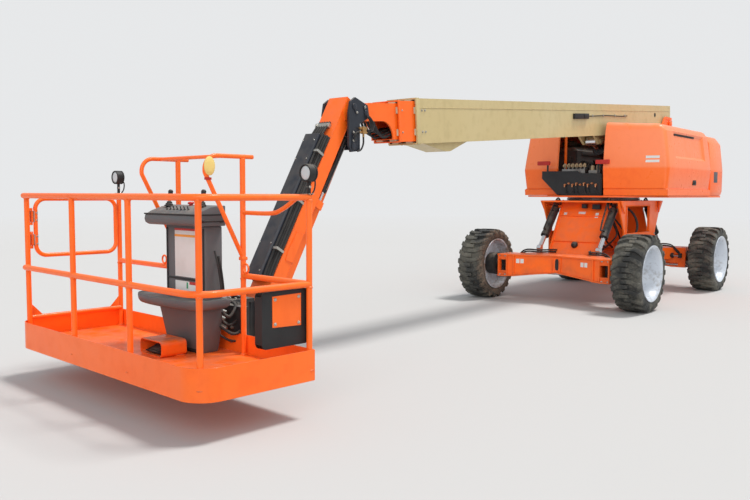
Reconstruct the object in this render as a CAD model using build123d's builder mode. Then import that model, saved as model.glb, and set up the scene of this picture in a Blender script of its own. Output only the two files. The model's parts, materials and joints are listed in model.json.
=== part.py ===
"""Telescopic boom lift with a jib, on a self-levelling four-wheel chassis.

X runs forward from the chassis to the platform, Y to the machine's left, Z up.
It is drawn with the swing axis at x = y = 0 and the ground at z = 0, then moved
so that the origin is under the middle of the whole machine.  Sizes are in mm.
"""

import os
from math import atan2, cos, degrees, hypot, radians, sin

from build123d import *

os.makedirs("parts", exist_ok=True)

# Fits
pin_play = 0.05
seat_gap = 0.3
slide_gap = 0.5

# Wheels and steering
wheelbase = 2820
track = 2130
tyre_radius = 470
tyre_width = 360
tyre_bead_radius = 330
tyre_sidewall_radius = 420
tyre_groove_radius = 442
tyre_shoulder = 36
lugs_a_side = 19
lug_from_y = -30
lug_half_width = 21
lug_sweep_angle = 5
rim_wall = 12
rim_lip = 14
rim_web_y = -40
hub_radius = 120
axle_z = tyre_radius
kingpin_y = 720
kingpin_radius = 45
spindle_radius = 62
hub_flange_radius = 150
hub_flange_thickness = 30
hub_flange_y = 870

# Axle beams
beam_end_y = 780
beam_front_end = 170
beam_front_middle = 10
beam_back = 160
beam_z = (325, 620)
beam_arch_z = 395
beam_arch_y = 430
beam_wall = 20
beam_window = (100, 150)
beam_oval = (130, 50, 505)
fork_depth = 150
fork_wall = 45

# Chassis tower
tower_top_z = 1330
tower_bottom_z = 560
tower_half_width = 550
tower_plate = 22
tower_side_top = 800
tower_side_bottom = 575
tower_side_knee_z = 900
tower_window = (-310, 510, 895, 1256)
core_half_width = 350
core_top_x = 550
core_bottom_x = 950
core_bottom_z = 645
arm_half_width = 240
arm_z = (440, 600)
arm_end_x = 985
frame_pin_radius = 55
tie_down = (700, 1265)
tie_down_radius = 18

# Levelling cylinders
level_y = 420
level_top = (600, 1245)
level_foot = (1090, 690)
level_barrel_radius = 52
level_rod_radius = 30
level_barrel_share = 0.72
level_pin_radius = 20

# Swing bearing and turntable
ring_outer_radius = 500
ring_inner_radius = 400
ring_height = 46
deck_thickness = 22
deck_front_x = 640
deck_rear_x = -2180
deck_half_width = 1030
hood_stand_out = 20
counterweight_stand_out = 15
engine_inset = 80
tank_inset = 100
upright_y = 195
upright_plate = 25
hood_pin_radius = 12
hood_knuckle_radius = 20
hood_knuckle_length = 90
hood_knuckle_x = (-1250, 150)

# Boom line: hinge, slope and sections
boom_hinge = (-2030, 2545)
boom_slope = 4.5
boom_axis_n = 80
boom_pin_radius = 45
base_rear_s = -175
base_tip_s = 6796
base_size = (340, 422)
base_wall = 10
rest_s = (5840, 6170, 6250, 6650)
rest_depth = 88
rest_half_width = 120
mid_rear_s = 600
mid_tip_s = 7042
mid_size = (300, 372)
mid_wall = 8
fly_rear_s = 800
fly_tip_s = 7250
fly_size = (260, 326)
fly_wall = 8
fly_head_s = 7560
fly_head_plate = 16
fly_arc = (7254, -66)
fly_arc_radius = 150
fly_neck_n = 84

# Lift cylinder
lift_base = (-1280, 1500)
lift_eye = (420, 2150)
lift_barrel_radius = 85
lift_rod_radius = 48
lift_pin_radius = 32
lift_barrel_share = 0.86

# Jib: a box arm over a thin link, both pinned to a level bracket
level_hinge = (5470, 2105)
jib_top = (5625, 2150)
jib_offset = (12, -340)
jib_length = 1830
jib_angle = -59.4
jib_arm_depth = 130
jib_arm_width = 210
jib_arm_wall = 8
jib_link_depth = 80
jib_link_y = (-100, 20)
jib_pin_radius = 22
jib_cylinder_y = 60
jib_cylinder_base = (0, -270)
jib_cylinder_reach = 900
jib_cylinder_drop = 120
jib_barrel_radius = 24
jib_rod_radius = 14
guard_depth = 100

# Platform, built square and then turned about the rotator
rotator_reach = 243.45
platform_turn_angle = -4.6
platform_side_shift = -25
platform_reach = 1138
platform_depth = 864
platform_width = 2440
platform_drop = 267.84
floor_thickness = 20
toe_above_floor = 132
toe_below_floor = 64
toe_plate = 5
corner_radius = 170
rail_height = 1083
mid_rail_height = 544
hoop_height = 1353
rail_diameter = 40
post_size = 38


def xz_plane(y):
    return Plane.XZ.offset(-y)


def along(start, angle, s, n=0.0):
    """Point in X and Z at s along a line of this angle and n to its upper left side."""
    a = radians(angle)
    return (start[0] + s * cos(a) - n * sin(a), start[1] + s * sin(a) + n * cos(a))


def slab_xz(points, y_from, y_to, mode=Mode.ADD):
    """Plate with an outline in X and Z, between two Y planes."""
    with BuildSketch(xz_plane(y_to)) as outline:
        with BuildLine():
            Polyline(*points, close=True)
        make_face()
    extrude(outline.sketch, amount=y_to - y_from, mode=mode)


def disc_y(center, radius, y_from, y_to, mode=Mode.ADD):
    """Round bar or bore along Y."""
    with BuildSketch(xz_plane(y_to)) as outline:
        with Locations(center):
            Circle(radius)
    extrude(outline.sketch, amount=y_to - y_from, mode=mode)


def bar_x(center, radius, x_from, x_to, mode=Mode.ADD):
    """Round bar or bore along X, its center given in Y and Z."""
    with BuildSketch(Plane.YZ.offset(x_from)) as outline:
        with Locations(center):
            Circle(radius)
    extrude(outline.sketch, amount=x_to - x_from, mode=mode)


def block(x, y, z, mode=Mode.ADD):
    """Block between two values on each axis."""
    with BuildSketch(Plane.XY.offset(z[0])) as outline:
        with Locations(((x[0] + x[1]) / 2, (y[0] + y[1]) / 2)):
            Rectangle(x[1] - x[0], y[1] - y[0])
    extrude(outline.sketch, amount=z[1] - z[0], mode=mode)


def rod(start, end, radius, mode=Mode.ADD):
    """Round bar between two points in space."""
    span = Vector(*end) - Vector(*start)
    with BuildSketch(Plane(origin=start, z_dir=span)) as outline:
        Circle(radius)
    extrude(outline.sketch, amount=span.length, mode=mode)


def bent_tube(points, radius, diameter, close=False):
    """Round tube through points in space, with one bend radius at each inner point."""
    with BuildLine() as path:
        FilletPolyline(*points, radius=radius, close=close)
    for edge in path.edges():
        with BuildSketch(Plane(origin=edge @ 0, z_dir=edge % 0)) as outline:
            Circle(diameter / 2)
        if edge.geom_type == GeomType.LINE:
            extrude(outline.sketch, amount=edge.length)
        else:
            arm = edge @ 0 - edge.arc_center
            bend_axis = Axis(edge.arc_center, arm.cross(edge % 0))
            revolve(outline.sketch, axis=bend_axis, revolution_arc=degrees(edge.length / arm.length))


pieces = []


def finish(builder, name):
    builder.part.label = name
    pieces.append(builder.part)


# Chassis

axle_x = wheelbase / 2

with BuildPart() as chassis_frame:
    side = [
        (-tower_side_top, tower_top_z),
        (tower_side_top, tower_top_z),
        (tower_side_bottom, tower_side_knee_z),
        (tower_side_bottom, tower_bottom_z),
        (-tower_side_bottom, tower_bottom_z),
        (-tower_side_bottom, tower_side_knee_z),
    ]
    window_x0, window_x1, window_z0, window_z1 = tower_window
    window = [(window_x0, window_z0), (window_x1, window_z0), (window_x1, window_z1), (window_x0, window_z1)]
    for y_side in (-tower_half_width, tower_half_width - tower_plate):
        slab_xz(side, y_side, y_side + tower_plate)
    slab_xz(window, -tower_half_width - 1, tower_half_width + 1, mode=Mode.SUBTRACT)
    block(
        (-tower_side_top, tower_side_top),
        (-tower_half_width, tower_half_width),
        (tower_top_z - tower_plate, tower_top_z),
    )
    block(
        (-tower_side_bottom, tower_side_bottom),
        (-tower_half_width, tower_half_width),
        (tower_bottom_z, tower_bottom_z + tower_plate),
    )
    for end in (-1, 1):
        face = [
            (end * core_top_x, tower_top_z - 1),
            (end * (core_top_x - tower_plate), tower_top_z - 1),
            (end * (core_bottom_x - tower_plate), core_bottom_z),
            (end * core_bottom_x, core_bottom_z),
        ]
        slab_xz(face, -core_half_width, core_half_width)
        foot = [
            (end * core_bottom_x, core_bottom_z),
            (end * (core_bottom_x - tower_plate), core_bottom_z + 40),
            (end * (tower_side_bottom - 40), core_bottom_z - 20),
            (end * (tower_side_bottom - 40), arm_z[0]),
            (end * arm_end_x, arm_z[0]),
            (end * arm_end_x, arm_z[1]),
        ]
        slab_xz(foot, -arm_half_width, arm_half_width)
        for y_pin in (-level_y, level_y):
            disc_y(
                (end * level_top[0], level_top[1]),
                level_pin_radius,
                y_pin - 70,
                y_pin + 110 if y_pin > 0 else y_pin + 70,
            )
            disc_y((end * level_top[0], level_top[1]), level_pin_radius, y_pin - 110, y_pin)
        x_pair = sorted((end * (arm_end_x - 60), end * (arm_end_x + 150)))
        bar_x((0, (arm_z[0] + arm_z[1]) / 2), frame_pin_radius, *x_pair)
        disc_y(
            (end * tie_down[0], tie_down[1]),
            tie_down_radius,
            -tower_half_width - 1,
            tower_half_width + 1,
            mode=Mode.SUBTRACT,
        )
finish(chassis_frame, "chassis_frame")

for end, end_name in ((1, "front"), (-1, "rear")):
    with BuildPart() as beam:
        plan = [
            (end * (axle_x + beam_front_end), beam_end_y),
            (end * (axle_x + beam_front_end), beam_end_y - 130),
            (end * (axle_x + beam_front_middle), 0),
            (end * (axle_x + beam_front_end), 130 - beam_end_y),
            (end * (axle_x + beam_front_end), -beam_end_y),
            (end * (axle_x - beam_back), -beam_end_y),
            (end * (axle_x - beam_back), beam_end_y),
        ]
        with BuildSketch(Plane.XY.offset(beam_z[0])):
            with BuildLine():
                Polyline(*plan, close=True)
            make_face()
        extrude(amount=beam_z[1] - beam_z[0])
        # The frame behind the beam turns on the tower's pin
        with BuildSketch(Plane.XY.offset(arm_z[0] + 10)):
            with BuildLine():
                Polyline(
                    (end * (axle_x - beam_back + 5), 620),
                    (end * (arm_end_x + 40), 500),
                    (end * (arm_end_x + seat_gap), 330),
                    (end * (arm_end_x + seat_gap), -330),
                    (end * (arm_end_x + 40), -500),
                    (end * (axle_x - beam_back + 5), -620),
                    close=True,
                )
            make_face()
        extrude(amount=beam_z[1] - arm_z[0] - 10)
        x_pair = sorted((end * arm_end_x, end * (arm_end_x + 160)))
        bar_x((0, (arm_z[0] + arm_z[1]) / 2), frame_pin_radius + pin_play, *x_pair, mode=Mode.SUBTRACT)
        # The underside rises to the middle
        with BuildSketch(Plane.YZ.offset(end * axle_x - 400)):
            with BuildLine():
                Polyline(
                    (-beam_arch_y - 150, beam_z[0] - 1),
                    (-40, beam_arch_z),
                    (40, beam_arch_z),
                    (beam_arch_y + 150, beam_z[0] - 1),
                    close=True,
                )
            make_face()
        extrude(amount=800, mode=Mode.SUBTRACT)
        # An upright oval hole in the fold of its front
        oval_length, oval_width, oval_z = beam_oval
        with BuildSketch(Plane.YZ.offset(end * axle_x - 40)):
            with Locations((0, oval_z)):
                SlotOverall(oval_length, oval_width, rotation=90)
        extrude(amount=100, mode=Mode.SUBTRACT)
        for side_sign in (-1, 1):
            y_pair = sorted((side_sign * (beam_end_y - fork_depth), side_sign * (beam_end_y + 1)))
            block(
                (end * axle_x - 120, end * axle_x + 120),
                y_pair,
                (beam_z[0] + fork_wall, beam_z[1] - fork_wall),
                mode=Mode.SUBTRACT,
            )
            # A square window in the front of the fork shows the knuckle
            window_y = side_sign * (beam_end_y - fork_depth / 2)
            window_z = (beam_z[0] + beam_z[1]) / 2
            block(
                sorted((end * (axle_x + 119), end * (axle_x + beam_front_end + 1))),
                (window_y - beam_window[0] / 2, window_y + beam_window[0] / 2),
                (window_z - beam_window[1] / 2, window_z + beam_window[1] / 2),
                mode=Mode.SUBTRACT,
            )
            with BuildSketch(Plane.XY.offset(beam_z[0] - 1)):
                with Locations((end * axle_x, side_sign * kingpin_y)):
                    Circle(kingpin_radius / 2 + pin_play)
            extrude(amount=beam_z[1] - beam_z[0] + 2, mode=Mode.SUBTRACT)
    finish(beam, f"{end_name}_axle_beam")

with BuildPart() as level_barrels:
    for end in (-1, 1):
        for y_pin in (-level_y, level_y):
            top = Vector(end * level_top[0], y_pin, level_top[1])
            foot = Vector(end * level_foot[0], y_pin, level_foot[1])
            split_point = top + (foot - top) * level_barrel_share
            rod(tuple(top + (foot - top) * 0.06), tuple(split_point), level_barrel_radius)
            disc_y((top.X, top.Z), 45, y_pin - 30, y_pin + 30)
            disc_y((top.X, top.Z), level_pin_radius + pin_play, y_pin - 31, y_pin + 31, mode=Mode.SUBTRACT)
finish(level_barrels, "level_cylinder_barrels")

with BuildPart() as level_rods:
    for end in (-1, 1):
        for y_pin in (-level_y, level_y):
            top = Vector(end * level_top[0], y_pin, level_top[1])
            foot = Vector(end * level_foot[0], y_pin, level_foot[1])
            split_point = top + (foot - top) * level_barrel_share
            drop = (foot - top).normalized()
            rod(tuple(split_point + drop * seat_gap), tuple(foot), level_rod_radius)
            disc_y((foot.X, foot.Z), 40, y_pin - 28, y_pin + 28)
            block(
                (foot.X - 28, foot.X + 28),
                (y_pin - 28, y_pin + 28),
                (beam_z[1] + seat_gap, foot.Z - 20),
            )
finish(level_rods, "level_cylinder_rods")

with BuildPart() as swing_ring:
    with BuildSketch(Plane.XY.offset(tower_top_z)):
        Circle(ring_outer_radius)
        Circle(ring_inner_radius, mode=Mode.SUBTRACT)
    extrude(amount=ring_height)
finish(swing_ring, "swing_ring")

# Tyre, drawn once with its axle along Z and its outer side up

half_tyre = tyre_width / 2
with BuildPart() as lug_form:
    with BuildSketch(Plane.XZ.offset(-lug_half_width)):
        with BuildLine():
            Polyline(
                (tyre_groove_radius - 12, lug_from_y),
                (tyre_radius, lug_from_y + 8),
                (tyre_radius, half_tyre - tyre_shoulder),
                (tyre_sidewall_radius - 12, half_tyre - 1),
                close=True,
            )
        make_face()
    extrude(amount=2 * lug_half_width)

with BuildPart() as tyre_form:
    # Flat-faced carcass with one face under each lug; a lug of each tyre points to the ground
    first_lug_angle = 90
    tread_edge = half_tyre - tyre_shoulder
    with BuildSketch(Plane.XY.offset(-half_tyre)):
        RegularPolygon(tyre_groove_radius, 2 * lugs_a_side, rotation=first_lug_angle + 90 / lugs_a_side)
    extrude(amount=tyre_width)
    end_faces = (tyre_form.faces().sort_by(Axis.Z)[0], tyre_form.faces().sort_by(Axis.Z)[-1])
    shoulder_depth = tyre_groove_radius - tyre_sidewall_radius
    for end_face in end_faces:
        chamfer(end_face.edges(), shoulder_depth, tyre_shoulder, reference=end_face)
    with BuildSketch(Plane.XY.offset(-half_tyre - 1)) as bead_outline:
        RegularPolygon(tyre_bead_radius, lugs_a_side, major_radius=False)
    extrude(bead_outline.sketch, amount=tyre_width + 2, mode=Mode.SUBTRACT)
    for side_face in (-1, 1):
        lug_middle = Pos(0, 0, (lug_from_y + tread_edge) / 2)
        lug = lug_middle * Rot(lug_sweep_angle, 0, 0) * lug_middle.inverse() * lug_form.part
        if side_face < 0:
            lug = mirror(lug, about=Plane.XY, mode=Mode.PRIVATE)
        stagger = (side_face + 1) * 90 / lugs_a_side
        with PolarLocations(0, lugs_a_side, start_angle=first_lug_angle + stagger):
            add(lug)

# Wheels, with the same parts at each corner

for end, end_name in ((1, "front"), (-1, "rear")):
    for side_sign, side_name in ((1, "left"), (-1, "right")):
        corner = f"{end_name}_{side_name}"
        wheel_y = side_sign * track / 2
        hub_plane = Plane(
            origin=(end * axle_x, wheel_y, axle_z), x_dir=(1, 0, 0), z_dir=(0, side_sign, 0)
        )
        with BuildPart() as knuckle:
            y_pair = sorted((side_sign * (kingpin_y - 50), side_sign * (kingpin_y + 40)))
            block(
                (end * axle_x - 55, end * axle_x + 55),
                y_pair,
                (beam_z[0] + fork_wall + 2, beam_z[1] - fork_wall - 2),
            )
            with BuildSketch(Plane.XY.offset(beam_z[0] + 4)):
                with Locations((end * axle_x, side_sign * kingpin_y)):
                    Circle(kingpin_radius / 2)
            extrude(amount=beam_z[1] - beam_z[0] - 8)
            with BuildSketch(hub_plane.offset(kingpin_y - track / 2)):
                Circle(spindle_radius)
            extrude(amount=hub_flange_y + hub_flange_thickness - kingpin_y)
            with BuildSketch(hub_plane.offset(hub_flange_y - track / 2)):
                Circle(hub_flange_radius)
            extrude(amount=hub_flange_thickness)
        finish(knuckle, f"knuckle_{corner}")

        with BuildPart() as rim:
            barrel = tyre_bead_radius - seat_gap
            web_back = rim_web_y - 8
            flange_face = hub_flange_y + hub_flange_thickness + seat_gap - track / 2
            with BuildSketch(Plane(origin=hub_plane.origin, x_dir=(1, 0, 0), z_dir=(0, 0, 1))):
                with BuildLine():
                    Polyline(
                        (0, side_sign * flange_face),
                        (hub_flange_radius - 20, side_sign * flange_face),
                        (hub_flange_radius + 20, side_sign * web_back),
                        (barrel - rim_wall, side_sign * web_back),
                        (barrel - rim_wall, side_sign * (6 - tyre_width / 2)),
                        (barrel, side_sign * (6 - tyre_width / 2)),
                        (barrel, side_sign * (tyre_width / 2 - 6)),
                        (barrel - rim_wall, side_sign * (tyre_width / 2 - 6)),
                        (barrel - rim_wall - 60, side_sign * (rim_web_y + 20)),
                        (hub_radius + 30, side_sign * rim_web_y),
                        (hub_radius, side_sign * (rim_web_y + 60)),
                        (0, side_sign * (rim_web_y + 60)),
                        close=True,
                    )
                make_face()
            revolve(axis=Axis(hub_plane.origin, (0, 1, 0)))
        finish(rim, f"rim_{corner}")

        with BuildPart() as tyre:
            add(tyre_form.part.moved(Location(hub_plane)), clean=False)
        finish(tyre, f"tyre_{corner}")

# Turntable

deck_z = tower_top_z + ring_height + seat_gap
deck_top_z = deck_z + deck_thickness

hood_wall = 30
hood_rear_x = -1425
hood_bottom_z = deck_top_z + 2
hood_skirt_z = 1500
hood_crease_z = 1765
hood_top_z = 2360
hood_pin_z = hood_top_z + 15
hood_table = (
    # name, side, inner y, outer y, inner front x, outer front x
    ("left", 1, 262, deck_half_width + hood_stand_out, 650, 440),
    ("right", -1, 450, deck_half_width + hood_stand_out, 560, 400),
)
hood_lean = 90
recess_x = (-1150, 130)
recess_z = (1895, 2240)
recess_depth = 30

with BuildPart() as turntable_frame:
    with BuildSketch(Plane.XY.offset(deck_z)):
        with BuildLine():
            Polyline(
                (deck_front_x, -430),
                (deck_front_x, 262),
                (300, deck_half_width),
                (deck_rear_x + 150, deck_half_width),
                (deck_rear_x, deck_half_width - 250),
                (deck_rear_x, 250 - deck_half_width),
                (deck_rear_x + 150, -deck_half_width),
                (300, -deck_half_width),
                close=True,
            )
        make_face()
        Circle(ring_inner_radius - 80, mode=Mode.SUBTRACT)
    extrude(amount=deck_thickness)
    upright = [
        (-1930, deck_top_z - 1),
        (-900, deck_top_z - 1),
        (-900, 1650),
        (-1850, 2650),
        (-2130, 2650),
        (-2130, 2120),
        (-1930, 2120),
    ]
    for y_side in (-upright_y - upright_plate, upright_y):
        slab_xz(upright, y_side, y_side + upright_plate)
    for center, radius in ((boom_hinge, boom_pin_radius), (lift_base, lift_pin_radius)):
        disc_y(center, radius, -upright_y - upright_plate - 12, upright_y + upright_plate + 12)
    for hood_name, side_sign, inner_y, outer_y, inner_front_x, outer_front_x in hood_table:
        pin_y = side_sign * (inner_y - hood_knuckle_radius - 2)
        bar_x((pin_y, hood_pin_z), hood_pin_radius, hood_knuckle_x[0] - 130, hood_knuckle_x[1] + 220)
        for post_x in (hood_knuckle_x[0] - 120, hood_knuckle_x[1] + 160):
            block((post_x, post_x + 50), (pin_y - 8, pin_y + 8), (deck_top_z - 1, hood_pin_z))
finish(turntable_frame, "turntable_frame")

cw_x = (-2190, -1440)
cw_half_width = deck_half_width + counterweight_stand_out
cw_top_z = 2290
with BuildPart() as counterweight:
    with BuildSketch(Plane.XY.offset(deck_top_z + seat_gap)) as cw_plan:
        with Locations(((cw_x[0] + cw_x[1]) / 2, 0)):
            Rectangle(cw_x[1] - cw_x[0], 2 * cw_half_width)
        fillet(cw_plan.vertices().group_by(Axis.X)[0], 160)
    extrude(amount=cw_top_z - deck_top_z)
    chamfer(counterweight.edges().group_by(Axis.Z)[-1], 110, 60)
    slot_half = upright_y + upright_plate + 20
    block((-1945, cw_x[1] + 1), (-slot_half, slot_half), (deck_top_z - 1, 3000), mode=Mode.SUBTRACT)
    block((cw_x[0] - 1, cw_x[1] + 1), (-slot_half, slot_half), (2100, 3000), mode=Mode.SUBTRACT)
finish(counterweight, "counterweight")

with BuildPart() as engine_block:
    block((-1300, -150), (engine_inset - deck_half_width, -480), (deck_top_z + seat_gap, 2120))
    chamfer(engine_block.edges().group_by(Axis.Z)[-1], 60)
finish(engine_block, "engine_block")

with BuildPart() as tanks:
    tank_y = (360, deck_half_width - tank_inset)
    block((-1300, -420), tank_y, (deck_top_z + seat_gap, 2050))
    block((-380, 180), (tank_y[0], tank_y[1] - 30), (deck_top_z + seat_gap, 1950))
    fillet(tanks.edges().filter_by(Axis.Z), 60)
finish(tanks, "fuel_and_oil_tanks")

valve_box_x = (470, 620)
with BuildPart() as valve_box:
    with BuildSketch(Plane.YZ.offset(valve_box_x[0])):
        with BuildLine():
            Polyline(
                (-330, deck_top_z + seat_gap),
                (235, deck_top_z + seat_gap),
                (235, 1690),
                (-430, 1690),
                (-430, 1500),
                close=True,
            )
        make_face()
    extrude(amount=valve_box_x[1] - valve_box_x[0])
finish(valve_box, "valve_box")

# Hoods: shells hinged at the top beside the boom, open below and towards the boom

for hood_name, side_sign, inner_y, outer_y, inner_front_x, outer_front_x in hood_table:
    with BuildPart() as hood:
        with BuildSketch(Plane.YZ.offset(hood_rear_x)):
            with BuildLine():
                Polyline(
                    (side_sign * inner_y, hood_bottom_z),
                    (side_sign * (outer_y - 8), hood_bottom_z),
                    (side_sign * (outer_y - 8), hood_skirt_z),
                    (side_sign * (outer_y + 15), hood_crease_z),
                    (side_sign * (outer_y - 60), hood_top_z - 90),
                    (side_sign * (outer_y - 150), hood_top_z - 10),
                    (side_sign * inner_y, hood_top_z + 25),
                    close=True,
                )
            make_face()
        extrude(amount=inner_front_x - hood_rear_x)
        with BuildSketch(Plane.XY.offset(hood_bottom_z - 1)):
            with BuildLine():
                Polyline(
                    (inner_front_x, side_sign * inner_y),
                    (outer_front_x, side_sign * (outer_y + 30)),
                    (inner_front_x + 50, side_sign * (outer_y + 30)),
                    (inner_front_x + 50, side_sign * inner_y),
                    close=True,
                )
            make_face()
        extrude(amount=hood_top_z, mode=Mode.SUBTRACT)
        # Above the crease the front leans back
        front_run = Vector(outer_front_x - inner_front_x, side_sign * (outer_y + 30 - inner_y), 0)
        front_out = Vector(side_sign * front_run.Y, -side_sign * front_run.X, 0)
        lean_plane = Plane(
            origin=(inner_front_x, side_sign * inner_y, 0), x_dir=front_out, z_dir=front_run * -side_sign
        )
        with BuildSketch(lean_plane) as lean_wedge:
            with BuildLine():
                Polyline(
                    (0, hood_crease_z),
                    (40, hood_crease_z),
                    (40, hood_top_z + 60),
                    (-hood_lean, hood_top_z + 60),
                    close=True,
                )
            make_face()
        extrude(lean_wedge.sketch, amount=outer_y, both=True, mode=Mode.SUBTRACT)
        if hood_name == "left":
            # A recess in the side, deepest under its top edge
            recess_y = (outer_y - 4, outer_y - 54 - recess_depth)
            with BuildSketch(Plane.YZ.offset(recess_x[0])) as recess_outline:
                with BuildLine():
                    Polyline(
                        (recess_y[0], recess_z[0]),
                        (recess_y[1], recess_z[1]),
                        (outer_y + 60, recess_z[1] + 12),
                        (outer_y + 60, recess_z[0]),
                        close=True,
                    )
                make_face()
            extrude(recess_outline.sketch, amount=recess_x[1] - recess_x[0], mode=Mode.SUBTRACT)
        bottom = hood.faces().sort_by(Axis.Z)[0]
        inner = hood.faces().sort_by(Axis.Y)[0 if side_sign > 0 else -1]
        offset(amount=-hood_wall, openings=[bottom, inner])
        pin_y = side_sign * (inner_y - hood_knuckle_radius - 2)
        for knuckle_x in hood_knuckle_x:
            knuckle_end = knuckle_x + hood_knuckle_length
            bar_x((pin_y, hood_pin_z), hood_knuckle_radius, knuckle_x, knuckle_end)
            y_pair = sorted((pin_y, side_sign * (inner_y + 40)))
            block((knuckle_x, knuckle_end), y_pair, (hood_top_z - 4, hood_top_z + 16))
            bar_x(
                (pin_y, hood_pin_z),
                hood_pin_radius + pin_play,
                knuckle_x - 1,
                knuckle_end + 1,
                mode=Mode.SUBTRACT,
            )
    finish(hood, f"hood_{hood_name}")

# Boom, drawn along its own line from the hinge


def boom_box(s_from, s_to, size, n_mid, y_mid=0.0, mode=Mode.ADD):
    """Box along the boom line, with its width and height."""
    width, height = size
    outline = [
        along(boom_hinge, -boom_slope, s_from, n_mid - height / 2),
        along(boom_hinge, -boom_slope, s_to, n_mid - height / 2),
        along(boom_hinge, -boom_slope, s_to, n_mid + height / 2),
        along(boom_hinge, -boom_slope, s_from, n_mid + height / 2),
    ]
    slab_xz(outline, y_mid - width / 2, y_mid + width / 2, mode=mode)


with BuildPart() as base_boom:
    boom_box(base_rear_s, base_tip_s, base_size, boom_axis_n)
    boom_box(
        base_rear_s + 400,
        base_tip_s + 1,
        (base_size[0] - 2 * base_wall, base_size[1] - 2 * base_wall),
        boom_axis_n,
        mode=Mode.SUBTRACT,
    )
    disc_y(boom_hinge, boom_pin_radius + pin_play, -200, 200, mode=Mode.SUBTRACT)
    lug = [
        along(lift_eye, 0, -210, 90),
        along(lift_eye, 0, 210, 60),
        along(lift_eye, 0, 45, -50),
        along(lift_eye, 0, -45, -50),
    ]
    for y_side in (-120, 90):
        slab_xz(lug, y_side, y_side + 30)
    for y_from, y_to in ((-130, -74), (74, 130)):
        disc_y(lift_eye, lift_pin_radius, y_from, y_to)
    # Rest under the tip, for the road
    underside_n = boom_axis_n - base_size[1] / 2
    rest = [
        along(boom_hinge, -boom_slope, s, underside_n + lift)
        for s, lift in zip(rest_s, (base_wall / 2, -rest_depth, -rest_depth, base_wall / 2))
    ]
    slab_xz(rest, -rest_half_width, rest_half_width)
finish(base_boom, "base_boom")


def wear_pads(tip_s, outer_size, wall, inner_size):
    """Pads in the mouth of one section, seated on its walls and just clear of the next."""
    half_gap_y = ((outer_size[0] - 2 * wall) - inner_size[0]) / 2
    half_gap_n = ((outer_size[1] - 2 * wall) - inner_size[1]) / 2
    for sign in (-1, 1):
        for y_pad in (-80, 80):
            n_mid = boom_axis_n + sign * (inner_size[1] / 2 + (half_gap_n + seat_gap) / 2)
            boom_box(tip_s - 120, tip_s + 12, (70, half_gap_n - seat_gap), n_mid, y_pad)
        for n_pad in (-100, 100):
            y_mid = sign * (inner_size[0] / 2 + (half_gap_y + seat_gap) / 2)
            boom_box(
                tip_s - 120, tip_s + 12, (half_gap_y - seat_gap, 60), boom_axis_n + n_pad, y_mid
            )


with BuildPart() as base_pads:
    wear_pads(base_tip_s, base_size, base_wall, mid_size)
finish(base_pads, "base_wear_pads")

with BuildPart() as mid_pads:
    wear_pads(mid_tip_s, mid_size, mid_wall, fly_size)
finish(mid_pads, "mid_wear_pads")

with BuildPart() as mid_boom:
    boom_box(mid_rear_s, mid_tip_s, mid_size, boom_axis_n)
    boom_box(
        mid_rear_s - 1,
        mid_tip_s + 1,
        (mid_size[0] - 2 * mid_wall, mid_size[1] - 2 * mid_wall),
        boom_axis_n,
        mode=Mode.SUBTRACT,
    )
finish(mid_boom, "mid_boom")

with BuildPart() as fly_boom:
    boom_box(fly_rear_s, fly_tip_s, fly_size, boom_axis_n)
    head = [
        along(boom_hinge, -boom_slope, fly_tip_s - 60, boom_axis_n - fly_size[1] / 2),
        along(boom_hinge, -boom_slope, fly_tip_s, boom_axis_n - fly_size[1] / 2),
        along(boom_hinge, -boom_slope, fly_tip_s, fly_neck_n),
        along(boom_hinge, -boom_slope, fly_head_s, fly_neck_n),
        along(boom_hinge, -boom_slope, fly_head_s, boom_axis_n + 90),
        along(boom_hinge, -boom_slope, fly_head_s - 120, boom_axis_n + fly_size[1] / 2),
        along(boom_hinge, -boom_slope, fly_tip_s - 60, boom_axis_n + fly_size[1] / 2),
    ]
    slab_xz(head, -fly_size[0] / 2, fly_size[0] / 2)
    boom_box(
        fly_rear_s - 1,
        fly_head_s + 1,
        (fly_size[0] - 2 * fly_head_plate, fly_size[1] - 2 * fly_wall),
        boom_axis_n,
        mode=Mode.SUBTRACT,
    )
    # Round cut-out behind the level hinge
    disc_y(
        along(boom_hinge, -boom_slope, *fly_arc),
        fly_arc_radius,
        -fly_size[0] / 2 - 1,
        fly_size[0] / 2 + 1,
        mode=Mode.SUBTRACT,
    )
    disc_y(
        level_hinge,
        jib_pin_radius + pin_play,
        -fly_size[0] / 2 - 1,
        fly_size[0] / 2 + 1,
        mode=Mode.SUBTRACT,
    )
finish(fly_boom, "fly_boom")

# Lift cylinder

lift_span = hypot(lift_eye[0] - lift_base[0], lift_eye[1] - lift_base[1])
lift_angle = degrees(atan2(lift_eye[1] - lift_base[1], lift_eye[0] - lift_base[0]))
lift_split = lift_span * lift_barrel_share


def xz_point(point, y=0.0):
    return (point[0], y, point[1])


with BuildPart() as lift_barrel:
    rod(
        xz_point(along(lift_base, lift_angle, 40)),
        xz_point(along(lift_base, lift_angle, lift_split)),
        lift_barrel_radius,
    )
    rod(
        xz_point(along(lift_base, lift_angle, 120)),
        xz_point(along(lift_base, lift_angle, lift_split + 1)),
        lift_rod_radius + slide_gap,
        mode=Mode.SUBTRACT,
    )
    disc_y(lift_base, 75, -80, 80)
    disc_y(lift_base, lift_pin_radius + pin_play, -81, 81, mode=Mode.SUBTRACT)
finish(lift_barrel, "lift_cylinder_barrel")

with BuildPart() as lift_rod:
    rod(
        xz_point(along(lift_base, lift_angle, 140)),
        xz_point(along(lift_base, lift_angle, lift_span - 30)),
        lift_rod_radius,
    )
    disc_y(lift_eye, 62, -70, 70)
    disc_y(lift_eye, lift_pin_radius + 4, -71, 71, mode=Mode.SUBTRACT)
finish(lift_rod, "lift_cylinder_rod")

# Jib

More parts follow.
